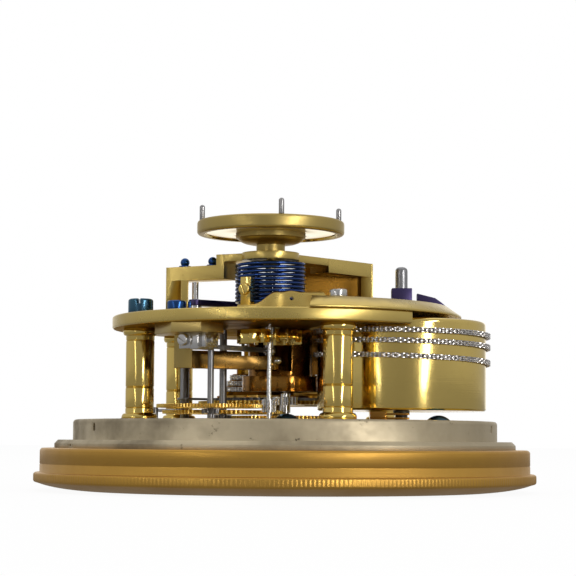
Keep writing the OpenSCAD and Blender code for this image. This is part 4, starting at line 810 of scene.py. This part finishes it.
# The potence's lower arm gets this darker brown: painted shade.
potence_brown = metal("potence_brown", (0.33, 0.19, 0.05), (0.16, 0.08, 0.02), 0.14, drift=0.3, specks=0.2)
finish_nodes(bright_brass, "escape_wheel")
finish_nodes(potence_tan, "potence")
finish_nodes(steel, "potence_screws", "detent_foot")
finish_nodes(grey_steel, "detent")
partly(dressed["potence"], potence_brown,
       lambda middle, normal: middle.x > potence_leg_x and middle.z < potence_arm_top)
partly(dressed["potence_screws"], deep_blue, lambda middle, normal: middle.z > z_deck - 0.1)

# The balance: a heavy brass disc turned with a shallow polished web under its rim, which stays
# satin. Steel pins stand on it, and its staff of polished steel carries the rollers and the collet.
staff_at = tuple(v / MM for v in next(j for j in frame["joints"]
                                      if j["name"] == "balance_swing")["pos_m"][:2])
z_rim, rim_r, rim_h, z_hub = 62.3, 18.0, 3.3, 58.2
side = ([(1.02, z_hub - z_rim), (3.5, z_hub - z_rim), (3.5, -2.4)]
        + swell((3.5, -2.4), (7.2, -2.3), (8.1, -0.9), 8))
side += [(8.1, -0.9), (8.5, -0.8), (8.5, 0.45), (rim_r - 1.95, 0.45), (rim_r - 1.8, 0), (rim_r - 1.4, 0)]
side += bow((rim_r - 0.7, 0.7), 0.7, -90, 0, 6) + bow((rim_r - 0.7, rim_h - 0.7), 0.7, 0, 90, 6)
side += [(rim_r - 1.8, rim_h), (rim_r - 2.1, rim_h - 0.7), (4, rim_h - 0.9), (3.6, rim_h - 0.2),
         (1.02, rim_h - 0.2)]
mesh = turned("balance_turned", [(r, z + z_rim) for r, z in broken(side, 0.08, True)], staff_at, 256, True)
smooth(mesh, 45)
disc_brass = metal("disc_brass", (0.76, 0.57, 0.2), brass_dark, 0.03, uneven=0.03, drift=0.1, specks=0.15)
rim_brass = metal("rim_brass", (0.5, 0.37, 0.12), brass_dark, 0.32, drift=0.15, specks=0.2, axis=staff_at,
                  fine=3000, deep=0.2)
disc = piece("balance_turned", mesh, disc_brass, "balance", "brass", "balance_disc")
web_from, web_to = 8.6, rim_r - 1.75
partly(disc, rim_brass, lambda middle, normal: middle.z > z_rim + 1
       or not web_from <= (middle.xy - Vector(staff_at)).length <= web_to)
pin_steel = metal("pin_steel", (0.4, 0.39, 0.39), (0.2, 0.19, 0.18), 0.26, drift=0.2, specks=0.2, fine=6000)
finish_nodes(steel, "balance_staff", "rollers")
finish_nodes(pin_steel, "balance_pins")
finish_nodes(bright_brass, "spring_collet")

# The balance spring: round steel wire wound on a mandrel, hardened and blued deep. Its lower end
# curves out to the stud, and its upper end curves in to the collet.
spring_r, spring_wire, spring_h, z_spring, spring_turns, stud_bearing = 8.24, 0.42, 10, 45.4, 11, -118
stud_inner, collet_r, per_turn, curve_out, curve_in, flat_low, flat_high = 10.15, 2.4, 20, 10, 15, 4, 7.5
whole = spring_turns * per_turn
steps, round_wire = 72, 12
total = spring_turns * steps
line = []
for i in range(total + 1):
    k = i / steps * per_turn
    a = math.radians(stud_bearing + i * 360 / steps)
    out, inn = max(0, 1 - k / curve_out), max(0, (k - whole + curve_in) / curve_in)
    r = spring_r + (stud_inner - spring_r) * out ** 2 - (spring_r - collet_r - spring_wire - 0.05) * inn ** 2
    rise = spring_h * min(1, max(0, (k - flat_low) / (whole - flat_low - flat_high)))
    line.append(Vector((staff_at[0] + r * math.cos(a), staff_at[1] + r * math.sin(a), z_spring + rise)))
verts, faces = [], []
for i, q in enumerate(line):
    ahead = (line[min(i + 1, total)] - line[max(i - 1, 0)]).normalized()
    across = ahead.cross(Vector((0, 0, 1))).normalized()
    up = across.cross(ahead)
    verts += [(q + spring_wire * (math.cos(t) * across + math.sin(t) * up)) * MM
              for t in (2 * math.pi * j / round_wire for j in range(round_wire))]
for i in range(total):
    for j in range(round_wire):
        k = (j + 1) % round_wire
        a, b = i * round_wire, (i + 1) * round_wire
        faces.append((a + j, b + j, b + k, a + k))
faces += [tuple(range(round_wire)), tuple(reversed(range(total * round_wire, (total + 1) * round_wire)))]
mesh = bpy.data.meshes.new("spring_wound")
mesh.from_pydata([tuple(v) for v in verts], [], faces)
smooth(mesh, 60)
spring_blue = metal("spring_blue", (0.03, 0.075, 0.27), (0.03, 0.04, 0.12), 0.09, drift=0.4, specks=0.1,
                    cloud=90)
piece("spring_wound", mesh, spring_blue, "movement", "blued_steel", "balance_spring")

# The stud and its arm: a bar filed from thick brass, low under the stud, which then swells to full
# height like a swan's neck, with a drilled hole in its front, and ends in the foot under the bridge.
bar_in, bar_out, bend_from, bend_to, foot_in, foot_out = 10.45, 12.65, -128, -78, (11.4, -9.6), (13.2, -13.8)
bar_low, bar_swell, swell_from, swell_over, dome_up, dome_half, dome_pace = 2, 2.9, -3.9, 5.6, 0.35, 2.4, 37
hole_x, hole_y, hole_z, hole_r, hole_turn = 5.1, -11.6, 3.3, 0.45, -82
corner, corner_w, curve_steps = 0.55, 2.7, 60
finish_nodes(bright_brass, "spring_stud")


def bar_height(x):
    """The bar's height at x mm from the staff: low, then the swan's neck, with a dome at the hole."""
    share = min(1, max(0, (x - swell_from) / swell_over))
    dome = math.cos(math.radians((x - hole_x) * dome_pace)) if abs(x - hole_x) < dome_half else 0
    return bar_low + bar_swell * share ** 2 * (3 - 2 * share) + dome_up * dome ** 2


verts, faces, cuts = [], [], []
for k in range(curve_steps + 1):
    bearing = math.radians(bend_from + (bend_to - bend_from) * k / curve_steps)
    way = Vector((math.cos(bearing), math.sin(bearing)))
    cuts.append((way * bar_in, way * bar_out, bar_height(way.x * bar_out)))
ahead = Vector((-way.y, way.x)) * 3
for inner, outer in zip(swell(way * bar_in, way * bar_in + ahead, foot_in, curve_steps) + [foot_in],
                        swell(way * bar_out, way * bar_out + ahead, foot_out, curve_steps) + [foot_out]):
    cuts.append((Vector(inner), Vector(outer), bar_height(outer[0]) - max(0, outer[0] - 12.7)))
for inner, outer, tall in cuts:
    edge = min(corner, tall * 0.4)
    curve = [((edge / corner_w) * (1 - math.cos(a)), tall - edge * (1 - math.sin(a)))
             for a in (math.pi * j / 10 for j in range(6))]
    section = [(0, 0), (1, 0)] + [(1 - share, z) for share, z in curve] + curve[::-1]
    for share, z in section:
        at = inner.lerp(outer, share)
        verts.append(((at.x + staff_at[0]) * MM, (at.y + staff_at[1]) * MM, (z_deck + z) * MM))
n = len(section)
for k in range(len(cuts) - 1):
    for j in range(n):
        faces.append((k * n + j, k * n + (j + 1) % n, (k + 1) * n + (j + 1) % n, (k + 1) * n + j))
faces += [tuple(range(n))[::-1], tuple(range((len(cuts) - 1) * n, len(cuts) * n))]
mesh = bpy.data.meshes.new("stud_bar")
mesh.from_pydata(verts, [], faces)
shape = bmesh.new()
shape.from_mesh(mesh)
bmesh.ops.recalc_face_normals(shape, faces=shape.faces)
shape.to_mesh(mesh)
shape.free()
drill = bmesh.new()
hole_at = Vector((staff_at[0] + hole_x, staff_at[1] + hole_y, z_deck + hole_z))
bmesh.ops.create_cone(drill, cap_ends=True, segments=32, radius1=hole_r * MM, radius2=hole_r * MM,
                      depth=5 * MM, matrix=Matrix.Translation(hole_at * MM)
                      @ Matrix.Rotation(math.radians(hole_turn), 4, "Z")
                      @ Matrix.Rotation(math.pi / 2, 4, "Y"))
bit = bpy.data.meshes.new("bit")
drill.to_mesh(bit)
drill.free()
tool, blank = bpy.data.objects.new("bit", bit), bpy.data.objects.new("blank", mesh)
for made in (tool, blank):
    bpy.context.scene.collection.objects.link(made)
cut = blank.modifiers.new("hole", "BOOLEAN")
cut.object, cut.operation, cut.solver = tool, "DIFFERENCE", "EXACT"
bpy.context.view_layer.update()
mesh = bpy.data.meshes.new_from_object(blank.evaluated_get(bpy.context.evaluated_depsgraph_get()))
mesh.name = "stud_bar"
for made in (tool, blank):
    bpy.data.objects.remove(made)
smooth(mesh, 40)
filed_brass = metal("filed_brass", (0.76, 0.56, 0.17), brass_dark, 0.2, uneven=0.1, drift=0.5, specks=0.3,
                    cloud=250)
piece("stud_bar", mesh, filed_brass, body_of["stud_arm"], slot_of["stud_arm"], "stud_arm")

# The balance bridge: stoned brass, with two arms from the staff back to its feet. The left arm steps
# down to a low part that carries both blued leaf screws. Behind the right arm the foot runs on as a
# wall, and it and the block's end are polished and seen in shadow.
left_foot, right_foot, z_arch, step_before_foot, step_moved = (-28, 1.5), (20.8, 16), 57.9, 11, 3
leaf_screw_x, leaf_screw_drop = -22, 2.62
finish_nodes(plate_brass, "balance_bridge", width=0.03)
finish_nodes(deep_blue, "bridge_screws")
for v in dressed["bridge_screws"].data.vertices:
    if v.co.x > leaf_screw_x * MM:
        v.co.z -= leaf_screw_drop * MM
staff_mid = Vector((*staff_at, 0))
left_way, right_way = Vector((*left_foot, 0)) - staff_mid, (Vector((*right_foot, 0)) - staff_mid).normalized()
step_at = left_way.length - step_before_foot
for v in dressed["balance_bridge"].data.vertices:
    along = (v.co / MM - staff_mid).dot(left_way.normalized())
    if abs(along - step_at) < 0.4 and v.co.z > (z_arch - 2.9) * MM:
        v.co -= left_way.normalized() * step_moved * MM
shade_brass = metal("shade_brass", (0.17, 0.08, 0.01), (0.06, 0.03, 0.01), 0.2, uneven=0.0, drift=0.5,
                    specks=0.0, cloud=40, grain=1e-8)
bar("bridge_wall", (11.6, 13.9, z_deck + 7.4), (17.4, 1.4, 14.8), 10, shade_brass)
partly(dressed["balance_bridge"], shade_brass,
       lambda middle, normal: normal.dot(right_way) < -0.95 and 17 < (middle - staff_mid).dot(right_way) < 20)

# The stop lever: a blade of steel blued to purple that swings on its post beside the left foot. It
# bows round the spring, so that it clears it when it swings in. The post is steel, its block brass.
post_x, bow_near, bow_far = -22.4, 1.6, 2.4
finish_nodes(wine, "stop_lever")
finish_nodes(bright_brass, "lever_post")
low, high = (f(v.co.x / MM for v in dressed["lever_post"].data.vertices) for f in (min, max))
partly(dressed["lever_post"], steel, lambda middle, normal: middle.x > low + 0.55 * (high - low))
for v in dressed["stop_lever"].data.vertices:
    reach = v.co.x / MM - post_x
    v.co.y += (bow_near if 7 < reach < 10.5 else bow_far if 19 < reach < 21 else 0) * MM

# The hands, under the dial: filed from thin steel and blued.
finish_nodes(blued, "minute_hand", "hour_hand", "seconds_hand")
